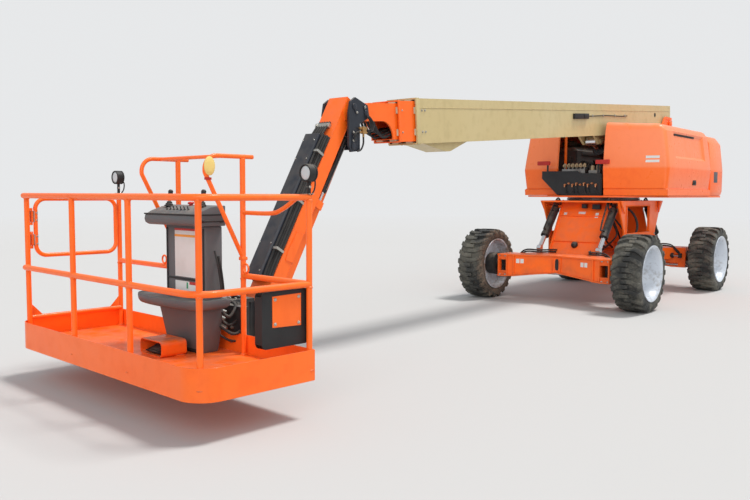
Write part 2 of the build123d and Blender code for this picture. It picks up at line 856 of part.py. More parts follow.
jib_lower_top = (jib_top[0] + jib_offset[0], jib_top[1] + jib_offset[1])
jib_foot = along(jib_top, jib_angle, jib_length)
jib_lower_foot = (jib_foot[0] + jib_offset[0], jib_foot[1] + jib_offset[1])

cylinder_base = (jib_top[0] + jib_cylinder_base[0], jib_top[1] + jib_cylinder_base[1])
bracket_web_x = (5552, 5576)
bracket_plate_y = 140
with BuildPart() as jib_bracket:
    outline = [
        (level_hinge[0] - 45, level_hinge[1] - 30),
        (level_hinge[0] - 20, level_hinge[1] + 70),
        (jib_top[0] - 10, jib_top[1] + 80),
        (jib_top[0] + 50, jib_top[1] + 40),
        (jib_top[0] + 70, jib_top[1] - 60),
        (jib_lower_top[0] + 60, jib_lower_top[1] + 10),
        (jib_lower_top[0] + 30, jib_lower_top[1] - 45),
        (bracket_web_x[0], jib_lower_top[1] - 30),
        (bracket_web_x[0], jib_lower_top[1] + 200),
    ]
    for y_side in (-bracket_plate_y - 20, bracket_plate_y):
        slab_xz(outline, y_side, y_side + 20)
    web_z = (jib_lower_top[1] - 20, jib_lower_top[1] + 180)
    block(bracket_web_x, (-bracket_plate_y - 1, bracket_plate_y + 1), web_z)
    inner_ear = [
        (bracket_web_x[0], web_z[0]),
        (jib_lower_top[0] + 32, web_z[0]),
        (jib_lower_top[0] + 32, jib_lower_top[1] + 20),
        (cylinder_base[0] + 24, cylinder_base[1] + 24),
        (bracket_web_x[0], cylinder_base[1] + 24),
    ]
    ear_y = (jib_link_y[1] + 3, jib_cylinder_y - 27)
    slab_xz(inner_ear, *ear_y)
    for center in (level_hinge, jib_top):
        disc_y(center, jib_pin_radius, -bracket_plate_y - 25, bracket_plate_y + 25)
    disc_y(jib_lower_top, jib_pin_radius, -bracket_plate_y - 25, ear_y[1])
    disc_y(cylinder_base, jib_pin_radius - 8, ear_y[0], bracket_plate_y + 10)
finish(jib_bracket, "jib_bracket")


def jib_box(s_from, s_to, n_from, n_to, y_from, y_to, start, mode=Mode.ADD):
    """Box along the jib's line from one of its pins."""
    outline = [
        along(start, jib_angle, s_from, n_from),
        along(start, jib_angle, s_to, n_from),
        along(start, jib_angle, s_to, n_to),
        along(start, jib_angle, s_from, n_to),
    ]
    slab_xz(outline, y_from, y_to, mode=mode)


half_depth = jib_arm_depth / 2
half_arm = jib_arm_width / 2
jib_lug = along(jib_top, jib_angle, jib_cylinder_reach, -jib_cylinder_drop)
with BuildPart() as jib_arm:
    jib_box(-60, jib_length + 60, -half_depth, half_depth, -half_arm, half_arm, jib_top)
    jib_box(
        70,
        jib_length - 70,
        jib_arm_wall - half_depth,
        half_depth - jib_arm_wall,
        jib_arm_wall - half_arm,
        half_arm - jib_arm_wall,
        jib_top,
        mode=Mode.SUBTRACT,
    )
    for center in (jib_top, jib_foot):
        disc_y(center, jib_pin_radius + pin_play, -half_arm - 1, half_arm + 1, mode=Mode.SUBTRACT)
    for y_side in (jib_cylinder_y - 40, jib_cylinder_y + 28):
        jib_box(
            jib_cylinder_reach - 35,
            jib_cylinder_reach + 35,
            -jib_cylinder_drop - 25,
            -half_depth,
            y_side,
            y_side + 12,
            jib_top,
        )
    for y_from, y_to in ((-40, -24), (24, 40)):
        disc_y(jib_lug, jib_rod_radius, jib_cylinder_y + y_from, jib_cylinder_y + y_to)
finish(jib_arm, "jib_arm")

with BuildPart() as jib_link:
    jib_box(-38, jib_length + 38, -jib_link_depth / 2, jib_link_depth / 2, *jib_link_y, jib_lower_top)
    for center in (jib_lower_top, jib_lower_foot):
        disc_y(center, jib_pin_radius + pin_play, jib_link_y[0] - 1, jib_link_y[1] + 1, mode=Mode.SUBTRACT)
finish(jib_link, "jib_link")

cylinder_span = hypot(jib_lug[0] - cylinder_base[0], jib_lug[1] - cylinder_base[1])
cylinder_angle = degrees(atan2(jib_lug[1] - cylinder_base[1], jib_lug[0] - cylinder_base[0]))
cylinder_split = cylinder_span * 0.8
with BuildPart() as jib_barrel:
    rod(
        xz_point(along(cylinder_base, cylinder_angle, 15), jib_cylinder_y),
        xz_point(along(cylinder_base, cylinder_angle, cylinder_split), jib_cylinder_y),
        jib_barrel_radius,
    )
    rod(
        xz_point(along(cylinder_base, cylinder_angle, 50), jib_cylinder_y),
        xz_point(along(cylinder_base, cylinder_angle, cylinder_split + 1), jib_cylinder_y),
        jib_rod_radius + slide_gap,
        mode=Mode.SUBTRACT,
    )
    disc_y(cylinder_base, 26, jib_cylinder_y - 20, jib_cylinder_y + 20)
    disc_y(
        cylinder_base,
        jib_pin_radius - 8 + pin_play,
        jib_cylinder_y - 30,
        jib_cylinder_y + 30,
        mode=Mode.SUBTRACT,
    )
finish(jib_barrel, "jib_cylinder_barrel")

with BuildPart() as jib_rod:
    rod(
        xz_point(along(cylinder_base, cylinder_angle, 60), jib_cylinder_y),
        xz_point(along(cylinder_base, cylinder_angle, cylinder_span - 12), jib_cylinder_y),
        jib_rod_radius,
    )
    disc_y(jib_lug, 24, jib_cylinder_y - 20, jib_cylinder_y + 20)
    disc_y(jib_lug, jib_rod_radius + 3, jib_cylinder_y - 21, jib_cylinder_y + 21, mode=Mode.SUBTRACT)
finish(jib_rod, "jib_cylinder_rod")

with BuildPart() as hose_guard:
    jib_box(
        190,
        jib_length - 130,
        half_depth + seat_gap,
        half_depth + guard_depth,
        -half_arm,
        60 - seat_gap,
        jib_top,
    )
finish(hose_guard, "jib_hose_guard")

rotator_radius = 105
rotator_clear = 140
rotator_x = jib_foot[0] + rotator_reach
head_plate_x = rotator_x - rotator_clear
with BuildPart() as jib_head:
    outline = [
        (jib_foot[0] - 50, jib_foot[1] + 60),
        (head_plate_x, jib_foot[1] + 60),
        (head_plate_x, jib_lower_foot[1] + 20),
        (jib_lower_foot[0] + 40, jib_lower_foot[1] - 45),
        (jib_lower_foot[0] - 45, jib_lower_foot[1] - 45),
    ]
    for y_side in (-half_arm - 28, half_arm + 8):
        slab_xz(outline, y_side, y_side + 20)
    block(
        (head_plate_x - 8, head_plate_x + 2),
        (-half_arm - 28, half_arm + 28),
        (jib_lower_foot[1] + 60, jib_foot[1] + 20),
    )
    block(
        (head_plate_x, rotator_x - 60),
        (-75, 75),
        (jib_lower_foot[1] + 60, jib_foot[1] + 20),
    )
    for center in (jib_foot, jib_lower_foot):
        disc_y(center, jib_pin_radius, -half_arm - 30, half_arm + 30)
    with BuildSketch(Plane.XY.offset(jib_lower_foot[1] + 60)):
        with Locations((rotator_x, 0)):
            Circle(rotator_radius)
    extrude(amount=jib_foot[1] - jib_lower_foot[1] - 40)
finish(jib_head, "jib_head")

# Platform, drawn square to the boom and turned about the rotator's axis

platform_turn = Location((rotator_x, 0, 0), (0, 0, platform_turn_angle))
floor_z = jib_foot[1] - platform_drop
toe_top_z = floor_z + toe_above_floor
toe_bottom_z = floor_z - toe_below_floor
rail_z = floor_z + rail_height
mid_rail_z = floor_z + mid_rail_height
x_front = platform_reach
x_back = platform_reach - platform_depth
y_left = platform_width / 2 + platform_side_shift
y_right = -platform_width / 2 + platform_side_shift
rotator_bottom_z = jib_lower_foot[1] + 60
rotator_top_z = jib_foot[1] + 20


def turned(plane):
    """Plane of the square drawing, carried round to where the platform stands."""
    return Plane(platform_turn * plane.location)


def turned_point(x, y, z):
    return (platform_turn * Pos(x, y, z)).position


def platform_block(x, y, z, mode=Mode.ADD):
    with BuildSketch(turned(Plane.XY.offset(z[0]))) as outline:
        with Locations(((x[0] + x[1]) / 2, (y[0] + y[1]) / 2)):
            Rectangle(x[1] - x[0], y[1] - y[0])
    extrude(outline.sketch, amount=z[1] - z[0], mode=mode)


def platform_outline(inset):
    """Plan of the platform, round at its two front corners."""
    with Locations(((x_front + x_back) / 2, (y_left + y_right) / 2)):
        outer = Rectangle(platform_depth - 2 * inset, platform_width - 2 * inset)
    fillet(outer.vertices().group_by(Axis.X)[-1], corner_radius - inset)


with BuildPart() as platform_support:
    for z_plate in (
        (rotator_bottom_z - 30, rotator_bottom_z - seat_gap),
        (rotator_top_z + seat_gap, rotator_top_z + 30),
    ):
        platform_block((-90, x_back - seat_gap), (-100, 100), z_plate)
    platform_block(
        (x_back - 60, x_back - seat_gap), (-430, 430), (rotator_bottom_z - 30, rotator_top_z + 30)
    )
finish(platform_support, "platform_support")

inset = toe_plate + post_size / 2 + seat_gap
corner_inset = 67
back_posts_y = (-310, 490)
y_left_rail = y_left - inset
y_right_rail = y_right + inset
post_table = (
    # X and Y of each post, and the height of its top
    (x_front - corner_inset, y_left - corner_inset, rail_z),
    (x_front - corner_inset, y_right + corner_inset, rail_z),
    (x_front - inset, -330, rail_z),
    (x_front - inset, 430, rail_z),
    (x_back + inset, y_left_rail, rail_z),
    (x_back + inset, y_right_rail, rail_z),
    (x_back + inset, back_posts_y[0], floor_z + hoop_height - 10),
    (x_back + inset, back_posts_y[1], floor_z + hoop_height - 10),
)
gate_tube = 32
gate_y = y_right_rail + 20
gate_pin_x = x_front - corner_inset - post_size / 2 - 26
gate_front_x = gate_pin_x - 28
gate_back_x = x_back + inset + post_size / 2 + 25
gate_z = (floor_z + 623, rail_z - 25)
gate_hinge_z = (floor_z + 703, floor_z + 883)
gate_hinge_length = 80
gate_hinge_play = 3
gate_pin_radius = 6
gate_arm_width = 8
gate_arm_length = hypot(x_front - corner_inset - gate_pin_x, y_right + corner_inset - gate_y)
gate_arm_angle = degrees(atan2(y_right + corner_inset - gate_y, x_front - corner_inset - gate_pin_x))
hoop_bend = 90
hoop_lean = 300
hoop_top_z = floor_z + hoop_height
hoop_tube = 30
hoop_bar_x = x_back + inset + hoop_lean - hoop_bend - 60
with BuildPart() as platform_floor:
    with BuildSketch(turned(Plane.XY.offset(toe_bottom_z))):
        platform_outline(0)
    extrude(amount=toe_top_z - toe_bottom_z)
    with BuildSketch(turned(Plane.XY.offset(floor_z))):
        platform_outline(toe_plate)
    extrude(amount=toe_top_z, mode=Mode.SUBTRACT)
    with BuildSketch(turned(Plane.XY.offset(toe_bottom_z - 1))):
        platform_outline(toe_plate)
    extrude(amount=floor_z - floor_thickness - toe_bottom_z + 1, mode=Mode.SUBTRACT)
finish(platform_floor, "platform_floor")

with BuildPart() as platform_rails:
    for x_post, y_post, top_z in post_table:
        with BuildSketch(turned(Plane.XY.offset(floor_z + seat_gap))):
            with Locations((x_post, y_post)):
                Circle(post_size / 2)
        extrude(amount=top_z - floor_z)
    for z_rail in (rail_z, mid_rail_z):
        bent_tube(
            [
                turned_point(x_back + inset, y_left_rail, z_rail),
                turned_point(x_front - inset, y_left_rail, z_rail),
                turned_point(x_front - inset, y_right + 2 * corner_inset - inset, z_rail),
                turned_point(x_front - corner_inset, y_right + corner_inset, z_rail),
            ],
            [corner_radius - inset, 50],
            rail_diameter,
        )
        for y_from, y_to in ((back_posts_y[1], y_left_rail), (y_right_rail, back_posts_y[0])):
            rod(
                tuple(turned_point(x_back + inset, y_from, z_rail)),
                tuple(turned_point(x_back + inset, y_to, z_rail)),
                rail_diameter / 2,
            )
    for y_post in back_posts_y:
        bent_tube(
            [
                turned_point(x_back + inset, y_post, mid_rail_z + 120),
                turned_point(x_back + inset + hoop_lean, y_post, hoop_top_z - 110),
                turned_point(x_back + inset + hoop_lean, y_post, hoop_top_z),
                turned_point(x_back - 60, y_post, hoop_top_z),
            ],
            [30, hoop_bend],
            hoop_tube,
        )
    rod(
        tuple(turned_point(hoop_bar_x, back_posts_y[0], hoop_top_z)),
        tuple(turned_point(hoop_bar_x, back_posts_y[1], hoop_top_z)),
        hoop_tube / 2 - 2,
    )
    for z_hinge in gate_hinge_z:
        hinge_ends = (z_hinge - 25, z_hinge + gate_hinge_length + 25)
        for bracket_z in (
            (hinge_ends[0], z_hinge - gate_hinge_play),
            (z_hinge + gate_hinge_length + gate_hinge_play, hinge_ends[1]),
        ):
            with BuildSketch(turned(Plane.XY.offset(bracket_z[0]))):
                with BuildLine():
                    gate_arm = PolarLine((gate_pin_x, gate_y), gate_arm_length, gate_arm_angle)
                trace(line_width=gate_arm_width)
            extrude(amount=bracket_z[1] - bracket_z[0])
        rod(
            tuple(turned_point(gate_pin_x, gate_y, hinge_ends[0])),
            tuple(turned_point(gate_pin_x, gate_y, hinge_ends[1])),
            gate_pin_radius,
        )
finish(platform_rails, "platform_rails")

console_x = x_back + 80
with BuildPart() as control_console:
    tray_z = floor_z + 313
    head_z = floor_z + 883
    platform_block((console_x, console_x + 200), (-170, 330), (floor_z + seat_gap, tray_z))
    platform_block((console_x, console_x + 140), (-170, 330), (tray_z, head_z))
    platform_block((console_x, console_x + 260), (-260, 370), (head_z, head_z + 140))
    platform_block((console_x, console_x + 330), (-430, 420), (tray_z, tray_z + 70))
finish(control_console, "control_console")

with BuildPart() as foot_switch:
    platform_block(
        (console_x + 220, console_x + 420), (-60, 220), (floor_z + seat_gap, floor_z + 110)
    )
    platform_block((console_x + 240, console_x + 421), (-40, 200), (floor_z + 10, floor_z + 95), mode=Mode.SUBTRACT)
finish(foot_switch, "foot_switch")

with BuildPart() as side_cover:
    cover_y = y_left_rail - post_size / 2 - seat_gap
    platform_block(
        (x_back + inset - 15, x_back + 380), (cover_y - 70, cover_y), (toe_top_z + 40, mid_rail_z - 25)
    )
finish(side_cover, "side_cover")

lamp_z = rail_z + 150
with BuildPart() as work_lamps:
    for y_post in (y_right_rail, y_left_rail):
        lamp_foot = rail_z + rail_diameter / 2 + seat_gap
        platform_block(
            (x_back + inset - 10, x_back + inset + 10), (y_post - 10, y_post + 10), (lamp_foot, lamp_z)
        )
        rod(
            tuple(turned_point(x_back + inset - 35, y_post, lamp_z)),
            tuple(turned_point(x_back + inset + 35, y_post, lamp_z)),
            56,
        )
finish(work_lamps, "work_lamps")

with BuildPart() as gate:
    gate_corners = [
        turned_point(gate_back_x, gate_y, gate_z[0]),
        turned_point(gate_back_x, gate_y, gate_z[1]),
        turned_point(gate_front_x, gate_y, gate_z[1]),
        turned_point(gate_front_x, gate_y, gate_z[0]),
    ]
    bent_tube(gate_corners, 80, gate_tube, close=True)
    for z_hinge in gate_hinge_z:
        hinge_z = (z_hinge, z_hinge + gate_hinge_length)
        platform_block((gate_front_x, gate_pin_x), (gate_y - 6, gate_y + 6), hinge_z)
        sleeve_start = tuple(turned_point(gate_pin_x, gate_y, hinge_z[0]))
        sleeve_end = tuple(turned_point(gate_pin_x, gate_y, hinge_z[1]))
        rod(sleeve_start, sleeve_end, gate_pin_radius + 5)
        rod(sleeve_start, sleeve_end, gate_pin_radius + pin_play, mode=Mode.SUBTRACT)
finish(gate, "platform_gate")

# Origin under the middle of the whole machine

boxes = [piece.bounding_box() for piece in pieces]
middle_x = round((min(box.min.X for box in boxes) + max(box.max.X for box in boxes)) / 2)
middle_y = round((min(box.min.Y for box in boxes) + max(box.max.Y for box in boxes)) / 2)
print("swing axis at", -middle_x, -middle_y)
for piece in pieces:
    placed = piece.moved(Location((-middle_x, -middle_y, 0)))
    placed.label = piece.label
    export_step(placed, f"parts/{piece.label}.step")
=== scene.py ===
import json
from math import cos, pi, radians, sin

import bmesh
import bpy
from mathutils import Matrix, Vector


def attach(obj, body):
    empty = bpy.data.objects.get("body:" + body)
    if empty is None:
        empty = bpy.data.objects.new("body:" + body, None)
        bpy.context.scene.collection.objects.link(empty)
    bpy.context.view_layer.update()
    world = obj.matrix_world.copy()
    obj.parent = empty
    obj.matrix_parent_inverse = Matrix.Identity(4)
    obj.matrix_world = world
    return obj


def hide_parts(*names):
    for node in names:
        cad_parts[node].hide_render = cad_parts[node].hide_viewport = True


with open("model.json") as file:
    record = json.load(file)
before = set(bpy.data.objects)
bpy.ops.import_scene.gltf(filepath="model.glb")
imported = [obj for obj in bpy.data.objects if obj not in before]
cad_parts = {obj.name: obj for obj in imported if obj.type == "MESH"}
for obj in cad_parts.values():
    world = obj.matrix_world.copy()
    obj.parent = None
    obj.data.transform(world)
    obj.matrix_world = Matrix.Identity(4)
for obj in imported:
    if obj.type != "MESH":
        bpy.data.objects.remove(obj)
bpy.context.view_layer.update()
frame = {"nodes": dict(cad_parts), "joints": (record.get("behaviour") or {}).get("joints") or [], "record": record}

print("frame loaded:", len(frame["nodes"]), "nodes")

# Places come from the frame: the swing axis is where the drawing has x = y = 0
joints = {joint["name"]: joint for joint in frame["joints"]}
swingAxis = Vector(joints["turntable_swing"]["pos_m"])
machine = Matrix.Translation((swingAxis.x, swingAxis.y, 0))
rotatorX = joints["platform_rotate"]["pos_m"][0] - swingAxis.x
platformTurn = radians(-4.6)
platformPlace = machine @ Matrix.Translation((rotatorX, 0, 0)) @ Matrix.Rotation(platformTurn, 4, "Z")
alongX, alongY, alongZ = (1, 0, 0), (0, 1, 0), (0, 0, 1)
sides = (-1, 1)

cameraView = {
    "place": (10.641, 4.491, 1.414),  # metres from the swing axis and the floor
    "forward": (-0.7722, -0.6312, -0.0726),
    "right": (-0.6329, 0.7742, 0),
    "rollDegrees": 0.22,
    "lens": 37.12,
    "sensor": 36.0,
    "farthest": 300,
}


def makeCamera():
    data = bpy.data.cameras.new("camera")
    data.lens = cameraView["lens"]
    data.sensor_width = cameraView["sensor"]
    data.clip_end = cameraView["farthest"]
    camera = bpy.data.objects.new("camera", data)
    bpy.context.scene.collection.objects.link(camera)
    forward = Vector(cameraView["forward"]).normalized()
    right = Vector(cameraView["right"]).normalized()
    turn = Matrix((right, right.cross(forward), -forward)).transposed().to_4x4()
    roll = Matrix.Rotation(radians(cameraView["rollDegrees"]), 4, "Z")
    camera.matrix_world = machine @ Matrix.Translation(cameraView["place"]) @ turn @ roll
    bpy.context.scene.camera = camera


makeCamera()


# Shader helpers: a wire wraps a socket, so its maths is written as plain expressions


class Wire:
    def __init__(self, tree, socket):
        self.tree = tree
        self.socket = socket

    def maths(self, operation, first, second=None):
        node = self.tree.nodes.new("ShaderNodeMath")
        node.operation = operation
        for index, value in enumerate((first, second)):
            if isinstance(value, Wire):
                self.tree.links.new(value.socket, node.inputs[index])
            elif value is not None:
                node.inputs[index].default_value = value
        return Wire(self.tree, node.outputs[0])

    def __add__(self, other):
        return self.maths("ADD", self, other)

    def __radd__(self, other):
        return self.maths("ADD", other, self)

    def __sub__(self, other):
        return self.maths("SUBTRACT", self, other)

    def __mul__(self, other):
        return self.maths("MULTIPLY", self, other)

    def most(self, other):
        return self.maths("MAXIMUM", self, other)

    def size(self):
        return self.maths("ABSOLUTE", self)


class Finish:
    def __init__(self, name, **constants):
        self.material = bpy.data.materials.new(name)
        self.material.use_nodes = True
        self.tree = self.material.node_tree
        self.shader = self.tree.nodes["Principled BSDF"]
        for socket, value in constants.items():
            self.shader.inputs[socket.replace("_", " ")].default_value = value

    def add(self, kind, settings=None, inputs=None, output=0):
        node = self.tree.nodes.new("ShaderNode" + kind)
        for key, value in (settings or {}).items():
            setattr(node, key, value)
        for key, value in (inputs or {}).items():
            if isinstance(value, Wire):
                self.tree.links.new(value.socket, node.inputs[key])
            else:
                node.inputs[key].default_value = value
        return Wire(self.tree, node.outputs[output])

    def feed(self, socket, wire):
        self.tree.links.new(wire.socket, self.shader.inputs[socket])

    def places(self, stretch=(1, 1, 1)):
        spot = self.add("TexCoord", output="Object")
        return self.add("VectorMath", {"operation": "MULTIPLY"}, {0: spot, 1: stretch})

    def noise(self, scale, detail=4.0, where=None, warp=0):
        values = {"Vector": where or self.places(), "Scale": scale, "Detail": detail, "Distortion": warp}
        return self.add("TexNoise", None, values, "Fac")

    def band(self, value, low, high):
        # 0 at low, 1 at high
        return self.add("MapRange", {"clamp": True}, {"Value": value, "From Min": low, "From Max": high})

    def blend(self, amount, first, second):
        # Each tone is a wire or red, green and blue
        first, second = (tone if isinstance(tone, Wire) else (*tone, 1.0) for tone in (first, second))
        settings = {"data_type": "RGBA", "clamp_factor": True}
        return self.add("Mix", settings, {0: amount, 6: first, 7: second}, 2)

    def split(self, vector, axis):
        return self.add("SeparateXYZ", None, {0: vector}, axis)

    def settled(self, low, where, amount):
        # Dust on faces that look up
        upward = self.split(self.add("TexCoord", output="Normal"), "Z")
        return self.band(upward, low, 0.95) * where * amount

    def inboard(self, outer, inner):
        # 1 towards the machine's middle, 0 past the outer place
        return self.band(self.split(self.places(), "Y").size(), outer, inner)

    def rounded(self, radius):
        # The rounded normal, and a mask that is 1 on the outer edges
        soft = self.add("Bevel", {"samples": 4}, {"Radius": radius})
        flat = self.add("NewGeometry", output="Normal")
        facing = self.add("VectorMath", {"operation": "DOT_PRODUCT"}, {0: soft, 1: flat}, "Value")
        return soft, self.band(facing, 0.995, 0.86)

    def finished(self, color, roughness, height, distance, strength, normal):
        values = {"Height": height, "Distance": distance, "Strength": strength, "Normal": normal}
        self.feed("Base Color", color)
        self.feed("Roughness", roughness)
        self.feed("Normal", self.add("Bump", None, values))
        return self.material


# Enamel: faded patches, streaks, painted sunlight above the crease where asked, dust on top faces, road film low
# down, chipped edges
paintTones = {
    "dust": (0.36, 0.31, 0.25),
    "film": (0.1, 0.085, 0.07),
    "chip": (0.16, 0.13, 0.12),
    # Painted sunlight, not a paint colour: the light tone of the upper faces
    "paintedSunlight": (0.96, 0.33, 0.16),
}
creaseHeights = (1.768, 1.8)
filmHeights = (0.75, 0.15)


def enamel(name, base, faded, deep, roughness=0.3, dust=0.35, film=0.5, wear=0.6, edge=0.004, paintedSunlightAmount=0):
    f = Finish(name, Specular_IOR_Level=0.3, Coat_Weight=0.14, Coat_Roughness=0.14)
    height = f.split(f.places(), "Z")
    soft, outer = f.rounded(edge)
    broad = f.noise(0.8, 2.0)
    fine = f.noise(11.0, 6.0)
    streaks = f.noise(9.0, 4.0, f.places((1, 1, 0.09)))
    color = f.blend(f.band(broad, 0.38, 0.66) * 0.55, base, faded)
    color = f.blend(f.band(fine, 0.5, 0.72) * 0.28, color, deep)
    color = f.blend(f.band(streaks, 0.56, 0.74) * 0.22, color, deep)
    if paintedSunlightAmount:
        # Painted sunlight: the paint above the crease is made lighter, standing in for the light on the upper
        # faces
        above = f.band(height + broad * 0.02, *creaseHeights)
        color = f.blend(above * paintedSunlightAmount, color, paintTones["paintedSunlight"])
    settled = f.settled(0.35, f.band(fine, 0.34, 0.62), dust)
    color = f.blend(settled, color, paintTones["dust"])
    road = f.band(height, *filmHeights) * f.band(f.noise(5.0, 5.0), 0.42, 0.68) * film
    color = f.blend(road, color, paintTones["film"])
    bare = outer * f.band(f.noise(60.0, 3.0), 0.5, 0.58) * wear
    scratches = f.noise(30.0, 2.0, f.places((1, 1, 14)), 0.4)
    bare = bare.most(f.band(scratches, 0.735, 0.75) * wear * 0.35)
    color = f.blend(bare, color, paintTones["chip"])
    gloss = roughness + f.band(fine, 0.3, 0.7) * 0.12 + settled * 0.5 + road * 0.4 + bare * 0.2
    skin = f.noise(260.0, 2.0) * 0.25 + f.noise(2.2, 2.0) * 6.0 - bare * 0.7
    return f.finished(color, gloss, skin, 0.0006, 0.5, soft)


def steel(name, color, dark, roughness=0.25, grain=(1, 1, 1), oil=0.4):
    f = Finish(name, Metallic=1.0)
    soft = f.rounded(0.002)[0]
    brushed = f.noise(160.0, 3.0, f.places(grain))
    stain = f.noise(7.0, 5.0)
    tone = f.blend(f.band(stain, 0.45, 0.7) * oil, color, dark)
    tone = f.blend(f.band(brushed, 0.4, 0.7) * 0.25, tone, dark)
    gloss = roughness + f.band(stain, 0.4, 0.7) * 0.22 + f.band(brushed, 0.3, 0.7) * 0.1
    return f.finished(tone, gloss, brushed, 0.0002, 0.4, soft)


def moulded(name, color, worn, roughness=0.55, grain=320.0, dust=0.3, edge=0.002):
    f = Finish(name, Specular_IOR_Level=0.45)
    soft, outer = f.rounded(edge)
    patch = f.noise(6.0, 5.0)
    tone = f.blend(f.band(patch, 0.4, 0.72) * 0.5, color, worn)
    tone = f.blend(outer * f.band(f.noise(50.0, 3.0), 0.45, 0.6) * 0.5, tone, worn)
    settled = f.settled(0.3, f.band(f.noise(14.0, 5.0), 0.36, 0.62), dust)
    tone = f.blend(settled, tone, paintTones["dust"])
    gloss = roughness + f.band(patch, 0.3, 0.7) * 0.15 + settled * 0.3
    return f.finished(tone, gloss, f.noise(grain, 2.0), 0.0003, 0.5, soft)


def tyreRubber():
    f = Finish("tyreRubber", Specular_IOR_Level=0.4)
    soft, outer = f.rounded(0.004)
    patch = f.noise(4.0, 6.0)
    fine = f.noise(45.0, 5.0)
    tone = f.blend(f.band(patch, 0.4, 0.65), (0.026, 0.027, 0.027), (0.062, 0.062, 0.056))
    dusty = f.band(patch + fine * 0.5, 0.68, 0.95) * 0.75
    tone = f.blend(dusty, tone, (0.17, 0.16, 0.13))
    tone = f.blend(outer * 0.5, tone, (0.14, 0.14, 0.13))
    tone = f.blend(f.inboard(0.92, 0.87) * f.band(fine, 0.32, 0.62) * 0.6, tone, (0.2, 0.135, 0.09))
    return f.finished(tone, 0.68 + dusty * 0.25, f.noise(150.0, 4.0) + fine * 2.0, 0.0012, 0.6, soft)


def rimWhite():
    f = Finish("rimWhite", Coat_Weight=0.15, Coat_Roughness=0.2)
    soft, outer = f.rounded(0.003)
    patch = f.noise(3.5, 6.0)
    fine = f.noise(30.0, 5.0)
    tone = f.blend(f.band(patch, 0.4, 0.7) * 0.6, (0.56, 0.61, 0.68), (0.42, 0.46, 0.52))
    dirt = f.band(fine * 0.6 + patch * 0.6, 0.62, 0.8) * 0.55
    tone = f.blend(dirt, tone, (0.17, 0.14, 0.11))
    tone = f.blend(outer * f.band(fine, 0.45, 0.6) * 0.8, tone, (0.12, 0.07, 0.045))
    rusty = f.inboard(1.08, 0.96) * f.band(fine * 0.5 + patch, 0.55, 0.85) * 0.85
    tone = f.blend(rusty, tone, (0.19, 0.115, 0.07))
    return f.finished(tone, 0.34 + dirt * 0.45, f.noise(120.0, 3.0) + patch * 5.0, 0.0006, 0.5, soft)


# Each row: the maker, its tones and what else it takes, in the maker's order or by name
orangeTones = ((0.99, 0.148, 0.01), (0.99, 0.19, 0.028), (0.84, 0.095, 0.006))
creamTones = ((0.56, 0.45, 0.225), (0.6, 0.5, 0.28), (0.4, 0.31, 0.15))
blackTones = ((0.014, 0.014, 0.016), (0.03, 0.031, 0.034), (0.008, 0.008, 0.009))
slateTones = ((0.022, 0.026, 0.036), (0.04, 0.045, 0.06), (0.012, 0.014, 0.02))
plateLook = (0.4, 60.0, 0.15)
finishRows = {
    "orange_paint": (enamel, orangeTones, (), {}),
    # Hood paint carries painted sunlight above the crease
    "hood_orange": (enamel, orangeTones, (),
                    dict(roughness=0.26, film=0.2, wear=0.25, edge=0.008, paintedSunlightAmount=0.45)),
    "cage_orange": (enamel, orangeTones, (), dict(dust=0.2, film=0.05, wear=0.4)),
    "cream_paint": (enamel, creamTones, (), dict(roughness=0.36, film=0)),
    "black_paint": (enamel, blackTones, (), dict(dust=0.5)),
    "slate_paint": (enamel, slateTones, (), dict(dust=0.4)),
    "chrome_rod": (steel, ((0.78, 0.79, 0.82), (0.42, 0.42, 0.44)), (0.12, (1, 1, 0.1)), dict(oil=0.25)),
    "bearing_steel": (steel, ((0.3, 0.29, 0.28), (0.1, 0.08, 0.07)), (0.38,), {}),
    "zinc_bolt": (steel, ((0.55, 0.54, 0.5), (0.28, 0.24, 0.18)), (0.35,), {}),
    "brass_fitting": (steel, ((0.56, 0.34, 0.14), (0.22, 0.13, 0.06)), (0.34,), {}),
    "copper_fitting": (steel, ((0.62, 0.27, 0.13), (0.25, 0.11, 0.06)), (0.3,), {}),
    "tan_plastic": (moulded, ((0.36, 0.26, 0.15), (0.25, 0.19, 0.12)), (0.5,), {}),
    "engine_iron": (moulded, ((0.05, 0.05, 0.052), (0.1, 0.095, 0.09)), (0.5, 120.0, 0.5), {}),
    "knuckle_iron": (moulded, ((0.022, 0.022, 0.023), (0.07, 0.06, 0.05)), (0.45, 120.0, 0.4), {}),
    "tank_plastic": (moulded, ((0.03, 0.03, 0.032), (0.06, 0.06, 0.06)), (), {}),
    "grey_plastic": (moulded, ((0.075, 0.085, 0.1), (0.12, 0.13, 0.145)), (), {}),
    "black_plastic": (moulded, ((0.012, 0.012, 0.013), (0.035, 0.035, 0.036)), (), {}),
    "hose_rubber": (moulded, ((0.013, 0.013, 0.014), (0.05, 0.048, 0.045)), (0.6, 500.0, 0.25), {}),
    "pale_plastic": (moulded, ((0.56, 0.5, 0.36), (0.36, 0.31, 0.22)), (0.6,), {}),
    "white_plate": (moulded, ((0.72, 0.73, 0.72), (0.55, 0.54, 0.5)), plateLook, {}),
    "amber_plate": (moulded, ((0.85, 0.33, 0.03), (0.7, 0.26, 0.03)), plateLook, {}),
    "green_plate": (moulded, ((0.03, 0.32, 0.16), (0.03, 0.24, 0.12)), plateLook, {}),
    "red_plate": (moulded, ((0.5, 0.02, 0.015), (0.36, 0.03, 0.02)), plateLook, {}),
    "pale_yellow": (moulded, ((0.82, 0.62, 0.2), (0.7, 0.5, 0.14)), (0.45, 60.0, 0.15), {}),
    "console_grey": (moulded, ((0.105, 0.112, 0.12), (0.15, 0.145, 0.14)), (0.5, 260.0, 0.35, 0.004), {}),
    "lamp_glass": (moulded, ((0.55, 0.58, 0.6), (0.4, 0.42, 0.43)), (0.12, 40.0, 0.15), {}),
}
finishes = {"tyre_rubber": tyreRubber(), "white_rim": rimWhite()}
for finishName, (maker, tones, order, named) in finishRows.items():
    first, second = finishName.split("_")
    finishes[finishName] = maker(first + second.title(), *tones, *order, **named)

